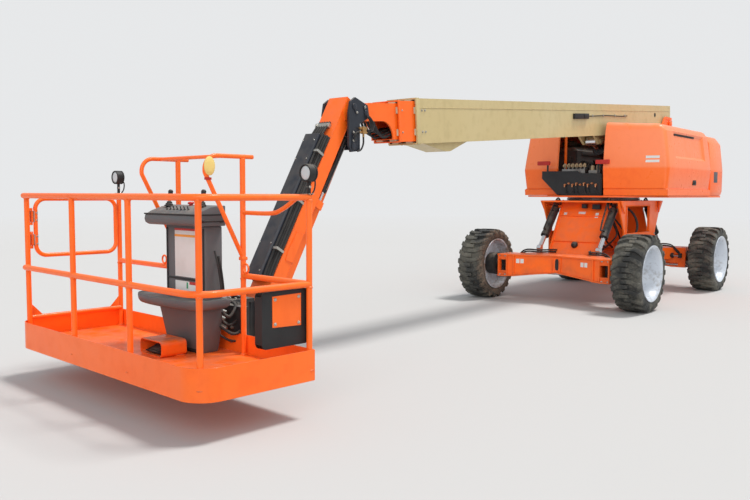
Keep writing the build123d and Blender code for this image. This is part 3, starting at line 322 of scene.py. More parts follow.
# Every CAD node shows in the finish of its slot, apart from a few
slotOfNode = {part["node"]: part["material_slot"] for part in frame["record"]["subparts"]}
otherFinish = {
    "hood_orange": ("hood_left", "hood_right", "counterweight"),
    "slate_paint": ("jib_bracket", "jib_hose_guard"),
    "cage_orange": ("platform_floor", "platform_rails", "platform_gate"),
}
finishOfNode = dict(slotOfNode)
for finishName, nodeNames in otherFinish.items():
    finishOfNode.update(dict.fromkeys(nodeNames, finishName))
for nodeName, node in frame["nodes"].items():
    node.data.materials.clear()
    node.data.materials.append(finishes[finishOfNode[nodeName]])
    node.data.set_sharp_from_angle(angle=radians(32))
print("finishes:", len(finishes))


# Mesh helpers: every added piece is gathered from shapes in metres from the swing axis


def around(count, start=0):
    # Cosine and sine of each step round a circle
    turns = [start + 2 * pi * index / count for index in range(count)]
    return [(cos(turn), sin(turn)) for turn in turns]


def signOf(value):
    return 1 if value > 0 else -1


def smoothRoute(points, steps):
    route = [Vector(point) for point in points]
    padded = [route[0] * 2 - route[1]] + route + [route[-1] * 2 - route[-2]]
    result = []
    for index in range(1, len(padded) - 2):
        before, start, end, after = padded[index - 1 : index + 3]
        for step in range(steps):
            t = step / steps
            curve = start * 2 + (end - before) * t
            curve += (before * 2 - start * 5 + end * 4 - after) * t * t
            curve += (start * 3 - before - end * 3 + after) * t * t * t
            result.append(curve * 0.5)
    return result + [route[-1]]


class Form:
    def __init__(self):
        self.mesh = bmesh.new()

    def soften(self, edges, offset, segments=2, profile=0.6, clamp=False):
        bmesh.ops.bevel(self.mesh, geom=edges, offset=offset, segments=segments, profile=profile,
                        affect="EDGES", clamp_overlap=clamp)

    def loft(self, rings, closed=False, bevel=0):
        before = set(self.mesh.edges) if bevel else ()
        self.rows = rows = [[self.mesh.verts.new(point) for point in ring] for ring in rings]
        count = len(rows[0])
        for first, second in zip(rows, rows[1:] + rows[:1] if closed else rows[1:]):
            for index in range(count):
                after = (index + 1) % count
                self.mesh.faces.new((first[index], first[after], second[after], second[index]))
        if not closed:
            self.mesh.faces.new(rows[0][::-1])
            self.mesh.faces.new(rows[-1])
        if bevel:
            self.soften([edge for edge in self.mesh.edges if edge not in before], bevel)
        return self

    def plate(self, outline, low, high, axis="y", bevel=0, turn=None):
        # An outline in the two other axes, between two places on this one
        order = {"x": (2, 0, 1), "y": (0, 2, 1), "z": (0, 1, 2)}[axis]
        rings = [[Vector([(a, b, place)[index] for index in order]) for a, b in outline]
                 for place in (low, high)]
        if turn:
            rings = [[turn @ point for point in ring] for ring in rings]
        return self.loft(rings, bevel=bevel)

    def block(self, first, second, turn=None, bevel=0):
        # A box between two opposite corners
        (left, right), (front, back), (low, high) = (sorted(pair) for pair in zip(first, second))
        outline = ((left, front), (right, front), (right, back), (left, back))
        return self.plate(outline, low, high, "z", bevel, turn)

    def ring(self, center, direction, radius, count):
        axis = Vector(direction).normalized()
        side = axis.orthogonal().normalized()
        other = axis.cross(side)
        return [Vector(center) + (side * a + other * b) * radius for a, b in around(count)]

    def bar(self, start, end, radius, count=20, endRadius=None):
        direction = Vector(end) - Vector(start)
        ends = ((start, radius), (end, endRadius or radius))
        return self.loft([self.ring(spot, direction, size, count) for spot, size in ends])

    def lathe(self, profile, center, axis, count=48):
        # The profile gives each ring's place along the axis and its radius
        axis = Vector(axis).normalized()
        closed = profile[0] == profile[-1]
        rings = [self.ring(Vector(center) + axis * place, axis, max(radius, 0.0002), count)
                 for place, radius in profile]
        return self.loft(rings[:-1] if closed else rings, closed)

    def tube(self, points, radius, count=10, steps=6):
        # Smooth through the points, or straight between them with no steps
        route = smoothRoute(points, steps) if steps else [Vector(point) for point in points]
        side = (route[1] - route[0]).normalized().orthogonal().normalized()
        rings = []
        for index, point in enumerate(route):
            following = route[min(index + 1, len(route) - 1)] - route[max(index - 1, 0)]
            following.normalize()
            side = (side - following * side.dot(following)).normalized()
            other = following.cross(side)
            rings.append([point + (side * a + other * b) * radius for a, b in around(count)])
        return self.loft(rings)

    def bolt(self, center, axis, size=0.012, height=None):
        # Washer, hexagon head and a small crown
        axis = Vector(axis).normalized()
        center = Vector(center)
        height = height or size * 0.8
        self.loft([self.ring(center + axis * place, axis, size * 1.35, 16) for place in (0, size * 0.22)])
        base = center + axis * size * 0.22
        rings = [(0, size), (height * 0.85, size), (height, size * 0.82)]
        return self.loft([self.ring(base + axis * place, axis, radius, 6) for place, radius in rings])

    def place(self, name, body, finish, bevel=0, angle=35, replaces=None):
        bmesh.ops.remove_doubles(self.mesh, verts=self.mesh.verts, dist=0.00001)
        bmesh.ops.recalc_face_normals(self.mesh, faces=self.mesh.faces)
        if bevel:
            sharp = [e for e in self.mesh.edges if e.is_manifold and e.calc_face_angle(0) > radians(40)]
            self.soften(sharp, bevel, clamp=True)
        self.mesh.transform(platformPlace if body in ("platform", "gate") else machine)
        data = bpy.data.meshes.new(name)
        self.mesh.to_mesh(data)
        self.mesh.free()
        piece = bpy.data.objects.new(name, data)
        bpy.context.scene.collection.objects.link(piece)
        data.materials.append(finishes[finish])
        data.shade_smooth()
        data.set_sharp_from_angle(angle=radians(angle))
        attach(piece, body)
        if replaces:
            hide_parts(replaces)


# Floor and light

studio = {
    "floorRadius": 70.0,
    "floorColor": (0.5, 0.5, 0.5),
    "backColor": (0.8, 0.81, 0.82),
    "skyColor": (0.92, 0.96, 1.0),
    "fade": (14.0, 45.0),
    "worldStrength": 0.62,
    "lightColor": (1.0, 0.97, 0.93),
}
lights = {
    # name: strength, direction, spread in degrees
    "sun": (2.9, (0.35, -0.25, -1.0), 14.0),
    "fill": (1.2, (-0.75, -0.55, -0.42), 50.0),
}


def makeFloor():
    f = Finish("studioFloor", Roughness=0.9, Specular_IOR_Level=0.1)
    f.shader.inputs["Base Color"].default_value = (*studio["floorColor"], 1.0)
    distance = f.add("VectorMath", {"operation": "LENGTH"}, {0: f.places((1, 1, 0))}, "Value")
    far = f.add("Emission", None, {"Color": (*studio["backColor"], 1.0), "Strength": 1.0})
    surface = Wire(f.tree, f.shader.outputs[0])
    mixed = f.add("MixShader", None, {0: f.band(distance, *studio["fade"]), 1: surface, 2: far})
    f.tree.links.new(mixed.socket, f.tree.nodes["Material Output"].inputs["Surface"])
    mesh = bmesh.new()
    bmesh.ops.create_circle(mesh, cap_ends=True, segments=96, radius=studio["floorRadius"])
    data = bpy.data.meshes.new("studioFloor")
    mesh.to_mesh(data)
    mesh.free()
    floor = bpy.data.objects.new("studioFloor", data)
    bpy.context.scene.collection.objects.link(floor)
    data.materials.append(f.material)


def makeLight():
    # The camera sees the even background, everything else the sky
    world = bpy.data.worlds.new("studio")
    world.use_nodes = True
    tree = world.node_tree
    tree.nodes.clear()
    mix = tree.nodes.new("ShaderNodeMixShader")
    rays = tree.nodes.new("ShaderNodeLightPath")
    tree.links.new(rays.outputs["Is Camera Ray"], mix.inputs[0])
    for index, color, strength in ((1, "skyColor", studio["worldStrength"]), (2, "backColor", 1.0)):
        background = tree.nodes.new("ShaderNodeBackground")
        background.inputs["Color"].default_value = (*studio[color], 1.0)
        background.inputs["Strength"].default_value = strength
        tree.links.new(background.outputs[0], mix.inputs[index])
    output = tree.nodes.new("ShaderNodeOutputWorld")
    tree.links.new(mix.outputs[0], output.inputs["Surface"])
    bpy.context.scene.world = world
    for name, (strength, direction, spread) in lights.items():
        light = bpy.data.lights.new(name, "SUN")
        light.energy = strength
        light.angle = radians(spread)
        light.color = studio["lightColor"]
        lamp = bpy.data.objects.new(name, light)
        lamp.rotation_euler = Vector(direction).to_track_quat("-Z", "Y").to_euler()
        bpy.context.scene.collection.objects.link(lamp)
    bpy.context.scene.view_settings.view_transform = "Standard"


makeFloor()
makeLight()
print("floor and light made")

# Wheels: carcass and lugs, dished rim, final drive and nuts

tyreSizes = {"radius": 0.47, "lugs": 22, "lugWidth": 0.05, "shoulderWidth": 0.064, "sweep": 0.052}
wheelPlaces = {"along": 1.41, "across": 1.065}
halfSection = [
    # place across the tyre, radius
    (0.154, 0.3305), (0.166, 0.338), (0.174, 0.362), (0.1765, 0.395), (0.171, 0.422), (0.158, 0.436),
    (0.11, 0.4405),
]
mirroredSection = [(-place, radius) for place, radius in halfSection]
tyreSection = mirroredSection + [(0, 0.4415)] + halfSection[::-1] + mirroredSection[:1]
lugStations = (
    # place across, share of the sweep, top radius, foot radius, share of shoulder width
    (-0.034, 0, 0.4695, 0.436, 0),
    (0.075, 0, 0.47, 0.436, 0),
    (0.115, 0.35, 0.469, 0.434, 0.4),
    (0.158, 0.85, 0.465, 0.428, 1.0),
    (0.1745, 1.0, 0.448, 0.415, 1.0),
    (0.1795, 1.05, 0.416, 0.4, 0.85),
)
rimSection = (
    # place outwards along the axle, radius, from the lip inwards
    (0.176, 0.329), (0.179, 0.335), (0.177, 0.341), (0.17, 0.341), (0.168, 0.3295), (0.15, 0.329),
    (-0.16, 0.329), (-0.168, 0.3295), (-0.17, 0.339), (-0.177, 0.339), (-0.178, 0.328), (-0.172, 0.318),
    (-0.15, 0.313), (-0.062, 0.31), (-0.052, 0.3), (-0.052, 0.17), (-0.06, 0.15), (-0.06, 0.118),
    (-0.044, 0.118), (-0.044, 0.15), (-0.042, 0.205), (-0.034, 0.232), (-0.016, 0.248), (0.06, 0.27),
    (0.14, 0.296), (0.164, 0.309), (0.171, 0.318), (0.176, 0.329),
)
hubSection = (
    (-0.1645, 0.001), (-0.1645, 0.142), (-0.15, 0.146), (-0.075, 0.146), (-0.062, 0.138), (-0.062, 0.117),
    (-0.02, 0.115), (-0.006, 0.108), (0.01, 0.088), (0.016, 0.06), (0.017, 0.001),
)


def makeLugs(tyre, center, side):
    count, radius = tyreSizes["lugs"], tyreSizes["radius"]
    for half in sides:
        # The two halves are half a lug apart
        for index in range(count):
            base = 2 * pi * (index + (0.5 if half > 0 else 0)) / count
            rings = []
            for place, lag, top, foot, wide in lugStations:
                width = tyreSizes["lugWidth"] + (tyreSizes["shoulderWidth"] - tyreSizes["lugWidth"]) * wide
                middle = base - side * lag * tyreSizes["sweep"] / radius
                spread = width / 2 / radius
                corners = ((-1.12, foot), (-0.94, top), (0.94, top), (1.12, foot))
                turns = [(middle + spread * share, reach) for share, reach in corners]
                rings.append([center + Vector((reach * cos(turn), half * place, reach * sin(turn)))
                              for turn, reach in turns])
            tyre.loft(rings)


def makeWheel(corner, along, side):
    center = Vector((along, side * wheelPlaces["across"], tyreSizes["radius"]))
    axis = Vector((0, side, 0))
    body = "wheel_" + corner
    tyre = Form().lathe(tyreSection, center, axis, 96)
    makeLugs(tyre, center, side)
    tyre.place("tyre_tread_" + corner, body, "tyre_rubber", 0.0035, 40, "tyre_" + corner)
    rim = Form().lathe(rimSection, center, axis, 96)
    rim.place("rim_dish_" + corner, body, "white_rim", angle=30, replaces="rim_" + corner)
    hub = Form().lathe(hubSection, center, axis, 40)
    for a, b in around(9):
        spot = center + Vector((a, 0, b)) * 0.1325
        hub.bar(spot - axis * 0.06, spot - axis * 0.018, 0.009, 10)
        hub.bolt(spot - axis * 0.044, axis, 0.0145, 0.016)
    for a, b in around(12, pi / 12):
        hub.bolt(center + Vector((a, 0, b)) * 0.092 - axis * 0.001, axis, 0.006, 0.006)
    hub.place("hub_drive_" + corner, body, "knuckle_iron", angle=30)
    start = center + axis * 0.036 + Vector((0, 0, 0.262))
    bend = start + axis * 0.03 - Vector((0, 0, 0.012))
    tip = start + axis * 0.04 - Vector((0, 0, 0.016))
    valve = Form().bar(start, bend, 0.0042, 10).bar(bend, tip, 0.0055, 10)
    valve.place("valve_stem_" + corner, body, "black_plastic")


for end, along in (("front", wheelPlaces["along"]), ("rear", -wheelPlaces["along"])):
    for sideName, side in (("left", 1), ("right", -1)):
        makeWheel(end + "_" + sideName, along, side)
print("wheels made")

# Hoods: moulded shells with a skirt, rounded corners and a recess in the left side

hoodLevels = (
    # height, place of the outer side, forward shift of the front
    (1.4015, 1.046, -0.036), (1.484, 1.049, -0.028), (1.49, 1.033, -0.04), (1.5, 1.036, -0.026),
    (1.765, 1.064, 0), (1.9, 1.047, -0.013), (2.255, 0.996, -0.052), (2.345, 0.93, -0.092),
)
hoodShapes = {
    "left": {"side": 1, "inner": 0.262, "innerFront": 0.65, "outerFront": 0.44},
    "right": {"side": -1, "inner": 0.45, "innerFront": 0.56, "outerFront": 0.4},
}
hoodSizes = {
    "rear": -1.424,
    "crown": 0.04,
    "wall": 0.028,
    "corner": 0.055,
    "recess": (0.13, -1.15),
    "hinges": (-1.25, 0.15),
    "hingeHeight": 2.375,
}


def frontSlope(shape):
    return (shape["outerFront"] - shape["innerFront"]) / (1.05 - shape["inner"])


def hoodRing(shape, height, outer, shift):
    inner = shape["inner"]
    points = [(shape["innerFront"] + shift + frontSlope(shape) * (y - inner), y) for y in (inner, outer)]
    points += [(x, outer) for x in (*hoodSizes["recess"], hoodSizes["rear"])] + [(hoodSizes["rear"], inner)]
    rise = hoodSizes["crown"] if height > 2.3 else 0
    return [(x, shape["side"] * y, height + rise * (outer - y) / (outer - inner)) for x, y in points]


def frontPoint(shape, across, height, out):
    # Point on the hood's front panel, at this place across and this height
    low, high = [pair for pair in zip(hoodLevels, hoodLevels[1:]) if pair[0][0] <= height][-1]
    shift = low[2] + (high[2] - low[2]) * (height - low[0]) / (high[0] - low[0])
    slope = frontSlope(shape)
    x = shape["innerFront"] + shift + slope * (across - shape["inner"])
    return Vector((x + out, shape["side"] * (across - slope * out), height))


def sleeve(low, high, inner, outer):
    return (low, inner), (low, outer), (high, outer), (high, inner), (low, inner)


def makeHood(name, shape):
    side = shape["side"]
    hood = Form().loft([hoodRing(shape, *level) for level in hoodLevels])
    mesh, rows = hood.mesh, hood.rows
    corners = {rows[5][2], rows[5][3], rows[6][2], rows[6][3]}
    recess = [face for face in mesh.faces if set(face.verts) == corners]
    bmesh.ops.recalc_face_normals(mesh, faces=mesh.faces)
    if side > 0:
        bmesh.ops.inset_individual(mesh, faces=recess, thickness=0.035, depth=-0.024, use_even_offset=True)
    # Big radii on the outer corners, then the open sides are cut away and the shell gets its wall
    top = len(rows) - 1
    wide = {frozenset((rows[level][corner], rows[level + 1][corner]))
            for level in range(3, top) for corner in (1, 4)}
    wide |= {frozenset(pair) for pair in zip(rows[top], rows[top][1:])}
    edges = [edge for edge in mesh.edges if frozenset(edge.verts) in wide]
    hood.soften(edges, hoodSizes["corner"], 6, 0.5, True)
    inner = side * shape["inner"]
    openFaces = [
        face for face in mesh.faces
        if all(abs(v.co.y - inner) < 0.0005 for v in face.verts)
        or all(abs(v.co.z - hoodLevels[0][0]) < 0.0005 for v in face.verts)
    ]
    bmesh.ops.delete(mesh, geom=openFaces, context="FACES")
    bmesh.ops.recalc_face_normals(mesh, faces=mesh.faces)
    if sum(face.normal.z * face.calc_area() for face in mesh.faces) < 0:
        bmesh.ops.reverse_faces(mesh, faces=mesh.faces)
    bmesh.ops.solidify(mesh, geom=mesh.faces[:], thickness=hoodSizes["wall"])
    pinY = side * (shape["inner"] - 0.022)
    height = hoodSizes["hingeHeight"]
    for start in hoodSizes["hinges"]:
        hood.lathe(sleeve(0, 0.09, 0.013, 0.02), (start, pinY, height), alongX, 20)
        leafEnd = (start + 0.086, side * (shape["inner"] + 0.07), height + 0.009)
        hood.block((start + 0.004, pinY + side * 0.018, height - 0.003), leafEnd)
    hood.place("hood_shell_" + name, "hood_" + name, "hood_orange", angle=26, replaces="hood_" + name)


def makeHoodTrim(name, shape):
    side = shape["side"]
    body = "hood_" + name
    if name == "left":
        # Bare decal places on the front panel
        plates = Form()
        for low, high in ((1.838, 1.872), (1.892, 1.926)):
            corners = [frontPoint(shape, across, height, 0.0012)
                       for across, height in ((0.78, low), (0.945, low), (0.945, high), (0.78, high))]
            plates.loft([[point - Vector((0.001, 0, 0)) for point in corners], corners])
        plates.place("hood_decal_places_" + name, body, "white_plate")
    # Pull latch with its cup and a key lock, low on the side
    latch = Form()
    spot = Vector((-0.68, side * 1.043, 1.585))
    for low, high in (((-0.075, -0.006, -0.036), (0.075, 0.007, 0.036)),
                      ((-0.055, -0.008, -0.02), (0.03, 0.016, 0.016))):
        latch.block(spot + Vector(low), spot + Vector(high), bevel=0.006)
    latch.bar(spot + Vector((0.052, 0, 0)), spot + Vector((0.052, side * 0.013, 0)), 0.01)
    latch.place("hood_latch_" + name, body, "black_plastic")
    # Rubber seal round the open edge beside the boom
    inner = side * (shape["inner"] + 0.004)
    front, rear = shape["innerFront"] - 0.016, hoodSizes["rear"]
    path = ((front - 0.036, 1.42), (front, 1.76), (front - 0.07, 2.27), (front - 0.16, 2.352), (-0.6, 2.356),
            (rear + 0.12, 2.352), (rear + 0.02, 2.27), (rear + 0.016, 1.42))
    seal = Form().tube([(x, inner, z) for x, z in path], 0.0085, 8, 0)
    seal.place("hood_seal_" + name, body, "hose_rubber")
    # Stiffening ribs inside
    ribs = Form()
    for place in (-1.0, -0.55, -0.1):
        ribs.block((place, side * 0.93, 1.52), (place + 0.03, side * 1.008, 1.75))
    ribs.place("hood_ribs_" + name, body, "hood_orange", bevel=0.003)
    if name == "left":
        # Painted shadow: a black strip with slats under the lip of the recess, where the lip casts its shade
        lipShadow = Form().block((-0.8, 0.965, 2.205), (0.045, 0.985, 2.232), bevel=0.004)
        for index in range(14):
            place = -0.78 + index * 0.059
            lipShadow.block((place, 0.972, 2.208), (place + 0.03, 0.9885, 2.229))
        lipShadow.place("hood_lip_shadow_" + name, body, "black_plastic")


for name, shape in hoodShapes.items():
    makeHood(name, shape)
for name, shape in hoodShapes.items():
    makeHoodTrim(name, shape)


# Counterweight: two cast lobes beside the boom's foot and a bridge behind it

weightLevels = (
    # height, half width, rear place
    (1.3988, 1.028, -2.165), (1.47, 1.045, -2.187), (1.8, 1.045, -2.189), (2.18, 1.01, -2.15),
    (2.289, 0.94, -2.095),
)
weightSizes = {"front": -1.442, "inner": 0.241, "bend": 0.16, "rearFace": -2.188}


def makeCounterweight():
    weight, eyes, bolts, squares, lamps = (Form() for _ in range(5))
    front, inner, bend, rearFace = weightSizes.values()
    for side in sides:
        rings = []
        for height, half, rear in weightLevels:
            plan = [(front, inner), (front, half), (rear + bend, half)]
            plan += [(rear + bend - bend * sin(turn), half - bend + bend * cos(turn))
                     for turn in (pi / 8, pi / 4, 3 * pi / 8, pi / 2)]
            rings.append([(x, side * y, height) for x, y in plan + [(rear, inner)]])
        weight.loft(rings)
        for x in (-1.62, -2.02):
            eyes.lathe(sleeve(-0.012, 0.012, 0.026, 0.046), (x, side * 0.62, 2.3), alongY, 24)
            eyes.block((x - 0.03, side * 0.62 - 0.01, 2.26), (x + 0.03, side * 0.62 + 0.01, 2.285))
        for height in (1.56, 1.86):
            for y in (0.62, 0.34):
                bolts.bolt((rearFace, side * y, height), (-1, 0, 0), 0.021)
        squares.block((-1.79, side * 1.044, 1.6), (-1.61, side * 1.047, 1.76), bevel=0.001)
        lamps.lathe(((0, 0.001), (0, 0.048), (0.012, 0.048), (0.02, 0.04), (0.022, 0.001)),
                    (rearFace, side * 0.78, 1.5), (-1, 0, 0), 32)
    weight.block((-2.187, -0.243, 1.3988), (-1.947, 0.243, 2.099))
    weight.place("counterweight_casting", "turntable", "hood_orange", 0.022, 30, "counterweight")
    eyes.place("lifting_eyes", "turntable", "zinc_bolt")
    bolts.place("counterweight_bolts", "turntable", "zinc_bolt")
    squares.place("counterweight_plates", "turntable", "grey_plastic")
    lamps.place("rear_reflectors", "turntable", "red_plate")


makeCounterweight()
print("hoods and counterweight made")

# Chassis: flanges, end frames, steering cylinders, geared ring, hoses and small plates

beamSizes = {
    "axle": 1.41,
    "endHalf": 0.78,
    "foldHalf": 0.65,
    "archHalf": 0.58,
    "frontEnd": 0.17,
    "frontMiddle": 0.01,
    "archRise": 0.07,
}


def beamFace(end, y, out=0):
    # Place of the beam's outer face at this y, with its fold in the middle
    share = max(0, 1 - abs(y) / beamSizes["foldHalf"])
    reach = beamSizes["frontEnd"] + (beamSizes["frontMiddle"] - beamSizes["frontEnd"]) * share
    return end * (beamSizes["axle"] + reach + out)


def makeBeamFrame(end, name):
    flanges = Form()
    endHalf, fold = beamSizes["endHalf"], beamSizes["foldHalf"]
    stations = (-endHalf, -fold, 0, fold, endHalf)
    for low, high, rise in ((0.604, 0.6215, 0), (0.3235, 0.341, beamSizes["archRise"])):
        for span in zip(stations, stations[1:]):
            rings = []
            for y in span:
                lift = rise * max(0, 1 - abs(y) / beamSizes["archHalf"])
                inside, outside = beamFace(end, y, -0.01), beamFace(end, y, 0.02)
                corners = ((inside, low), (outside, low), (outside, high), (inside, high))
                rings.append([(x, y, z + lift) for x, z in corners])
            flanges.loft(rings)
    for side in sides:
        for y in (0.774, 0.652, 0.56):
            near, far = beamFace(end, y) - end * 0.01, beamFace(end, y) + end * 0.018
            flanges.block((near, side * y, 0.328), (far, side * (y - 0.016), 0.618))
        # Frame round the window in the end box
        for z in (0.385, 0.546):
            flanges.block((end * 1.572, side * 0.645, z), (end * 1.592, side * 0.765, z + 0.016))
    # Two ribs beside the oval hole in the middle
    near, far = beamFace(end, 0.055, -0.004), beamFace(end, 0.055, 0.016)
    for side in sides:
        flanges.block((near, side * 0.055 - 0.007, 0.4), (far, side * 0.055 + 0.007, 0.612))
    flanges.place("beam_flanges_" + name, "chassis", "orange_paint", bevel=0.003)

    # Painted shade: a flat black oval on the beam's face stands in for the dark inside of the oval hole
    center = Vector((beamFace(end, 0, 0.0035), 0, 0.505))
    oval = [(0.024 * a, 0.024 * b + (0.04 if b > 0 else -0.04)) for a, b in around(28)]
    rings = [[center + Vector((end * out, a * scale, b * scale)) for a, b in oval]
             for scale, out in ((1.16, -0.004), (1.16, 0.0015), (1.0, 0.0015))]
    Form().loft(rings).place("beam_hole_shade_" + name, "chassis", "black_plastic")

    plates = Form()
    for middle in (-0.475, 0.415):
        for y in (middle - 0.028, middle + 0.028):
            corners = [(beamFace(end, y + a, 0.0015), y + a, z)
                       for a, z in ((-0.022, 0.505), (0.022, 0.505), (0.022, 0.562), (-0.022, 0.562))]
            plates.loft([[(x - end * 0.001, y, z) for x, y, z in corners], corners])
    plates.place("beam_plates_" + name, "chassis", "white_plate")


def makeSteering(end, name):
    # A cylinder on each side behind the beam and a cross rod between the knuckles
    steering, rods, bolts = Form(), Form(), Form()
    inside, height = end * 1.205, 0.505
    barrel = ((0, 0.001), (0, 0.034), (0.012, 0.038), (0.045, 0.038), (0.05, 0.033), (0.25, 0.033),
              (0.254, 0.04), (0.285, 0.04), (0.29, 0.03), (0.29, 0.001))
    for side in sides:
        steering.lathe(barrel, (inside, side * 0.33, height), (0, side, 0), 28)
        foot = side * 0.322
        steering.block((inside - 0.03, foot - 0.02, 0.47), (inside + 0.03, foot + 0.02, 0.54), bevel=0.005)
        for y, low, high, radius, count in (
            (0.4, 0.538, 0.566, 0.011, 12), (0.56, 0.538, 0.566, 0.011, 12), (0.715, 0.47, 0.54, 0.027, 20)
        ):
            steering.bar((inside, side * y, low), (inside, side * y, high), radius, count)
        rods.bar((inside, side * 0.6, height), (inside, side * 0.705, height), 0.017)
        for z in (0.345, 0.6):
            for y in (0.672, 0.752):
                bolts.bolt((end * 1.581, side * y, z), (end, 0, 0), 0.01)
        for z, up in ((0.6205, 1), (0.3245, -1)):
            for a, b in around(4, pi / 4):
                bolts.bolt((end * 1.41 + 0.058 * a, side * 0.72 + 0.045 * b, z), (0, 0, up), 0.009)
    steering.place("steering_cylinders_" + name, "chassis", "black_paint")
    rods.bar((end * 1.235, -0.68, 0.372), (end * 1.235, 0.68, 0.372), 0.019)
    rods.place("steering_rods_" + name, "chassis", "chrome_rod")
    bolts.place("beam_bolts_" + name, "chassis", "zinc_bolt")


def makeLevelCylinderTrim():
    caps, hoses = Form(), Form()
    mouthCap = ((0, 0.033), (0, 0.056), (0.012, 0.0575), (0.04, 0.0575), (0.046, 0.05), (0.046, 0.033),
                (0, 0.033))
    baseCap = ((0, 0.02), (0, 0.05), (0.008, 0.0555), (0.03, 0.0555), (0.034, 0.045), (0.034, 0.02),
               (0, 0.02))
    for end in sides:
        for side in sides:
            y = side * 0.42
            top, foot = Vector((end * 0.6, y, 1.245)), Vector((end * 1.09, y, 0.69))
            along = (foot - top).normalized()
            length = (foot - top).length
            caps.lathe(mouthCap, top + along * (length * 0.72 - 0.046), along, 32)
            caps.lathe(baseCap, top + along * 0.044, along, 32)
            outward = Vector((-along.z, 0, along.x)) * signOf(along.x)
            for share, lag in ((0.16, 0), (0.62, 0.03)):
                spot = top + along * length * share
                caps.bar(spot + outward * 0.045, spot + outward * 0.078, 0.015, 12, 0.012)
                spot = spot + outward * 0.075
                hoses.tube([spot, spot + outward * 0.045 + Vector((0, -side * 0.02, 0)),
                            top + outward * (0.11 + lag) + Vector((0, -side * 0.045, 0)) - along * 0.02,
                            (end * 0.565, y - side * 0.06, 1.29 - lag)], 0.011, 8)
    caps.place("level_cylinder_caps", "chassis", "black_paint")
    hoses.place("level_cylinder_hoses", "chassis", "hose_rubber")


def towerFace(end):
    # Sloping end face of the tower: its top, its foot, the way down it and the way out of it
    top, foot = Vector((end * 0.55, 0, 1.328)), Vector((end * 0.95, 0, 0.648))
    slope = (foot - top).normalized()
    return top, foot, slope, Vector((end * abs(slope.z), 0, abs(slope.x))).normalized()


def makeTowerStiffeners():
    trim = Form()
    for end in sides:
        top, foot, slope, out = towerFace(end)
        # Edge flanges down both sides of the sloping face and two stiffeners across it
        for side in sides:
            section = ((-0.02, 0.33), (0.022, 0.33), (0.022, 0.3495), (-0.02, 0.3495))
            trim.loft([[spot + out * a + Vector((0, side * b, 0)) for a, b in section]
                       for spot in (top, foot)])
        for share, tall in ((0.3, 0.012), (0.8, 0.014)):
            spot = top + (foot - top) * share
            section = ((0, -0.002), (tall, -0.002), (tall, 0.018), (0, 0.018))
            trim.loft([[spot + slope * a + out * b + Vector((0, y, 0)) for a, b in section]
                       for y in (-0.332, 0.332)])
        # Corner gussets between the tower's side plates and its top
        outline = [(end * 0.64, 1.328), (end * 0.785, 1.328), (end * 0.64, 1.16)]
        for side in sides:
            trim.plate(outline, *sorted((side * 0.56, side * 0.582)), bevel=0.003)
    for side in sides:
        # Raised rim round the side window, then two ribs below it
        for low, high in (
            ((-0.325, 0.88), (0.525, 0.896)), ((-0.325, 1.255), (0.525, 1.271)),
            ((-0.325, 0.896), (-0.309, 1.255)), ((0.509, 0.896), (0.525, 1.255)),
        ):
            trim.block((low[0], side * 0.549, low[1]), (high[0], side * 0.561, high[1]))
        for x in (-0.5, 0.46):
            trim.block((x, side * 0.549, 0.62), (x + 0.016, 0.57 if side > 0 else -0.561, 0.84))
    trim.place("tower_stiffeners", "chassis", "orange_paint", bevel=0.0025)


def makeTowerPlates():
    plates = Form()
    for end in sides:
        top, foot, slope, out = towerFace(end)
        for share, y, wide, tall in (
            (0.24, 0.2, 0.045, 0.075), (0.22, -0.02, 0.1, 0.035), (0.24, -0.26, 0.045, 0.06)
        ):
            spot = top + (foot - top) * share + out * 0.001
            corners = [spot + slope * b + Vector((0, y + a, 0))
                       for a, b in ((-wide / 2, 0), (wide / 2, 0), (wide / 2, tall), (-wide / 2, tall))]
            plates.loft([[c + out * lift for c in corners] for lift in (-0.002, 0.001)])
    plates.place("tower_plates", "chassis", "white_plate")


def makeTowerParts():
    dark = Form()
    dome = ((0, 0.001), (0, 0.046), (0.012, 0.046), (0.024, 0.042), (0.038, 0.028), (0.044, 0.001))
    rotaryJoint = ((0, 0.001), (0, 0.11), (0.05, 0.11), (0.06, 0.085), (0.2, 0.085), (0.21, 0.1), (0.3, 0.1),
                   (0.3, 0.001))
    for end in sides:
        dark.lathe(dome, (end * 0.905, 0, 0.735), (end * 0.86, 0, 0.5), 28)
        dark.block((end * 0.66 - 0.03, 0.14, 1.215), (end * 0.66 + 0.03, 0.25, 1.285), bevel=0.006)
        dark.block((end * 0.64 - 0.028, -0.02, 1.225), (end * 0.64 + 0.028, 0.05, 1.285), bevel=0.006)
    dark.lathe(rotaryJoint, (0, 0, 1.03), alongZ, 36)
    dark.place("tower_dark_parts", "chassis", "black_paint")


def makeTowerBolts():
    bolts = Form()
    for a, b in around(30):
        bolts.bolt((0.45 * a, 0.45 * b, 1.308), (0, 0, -1), 0.011)
    for end in sides:
        for side in sides:
            for z in (0.62, 0.74, 0.86):
                bolts.bolt((end * 0.54, side * 0.5505, z), (0, side, 0), 0.011)
    bolts.place("tower_bolts", "chassis", "zinc_bolt")


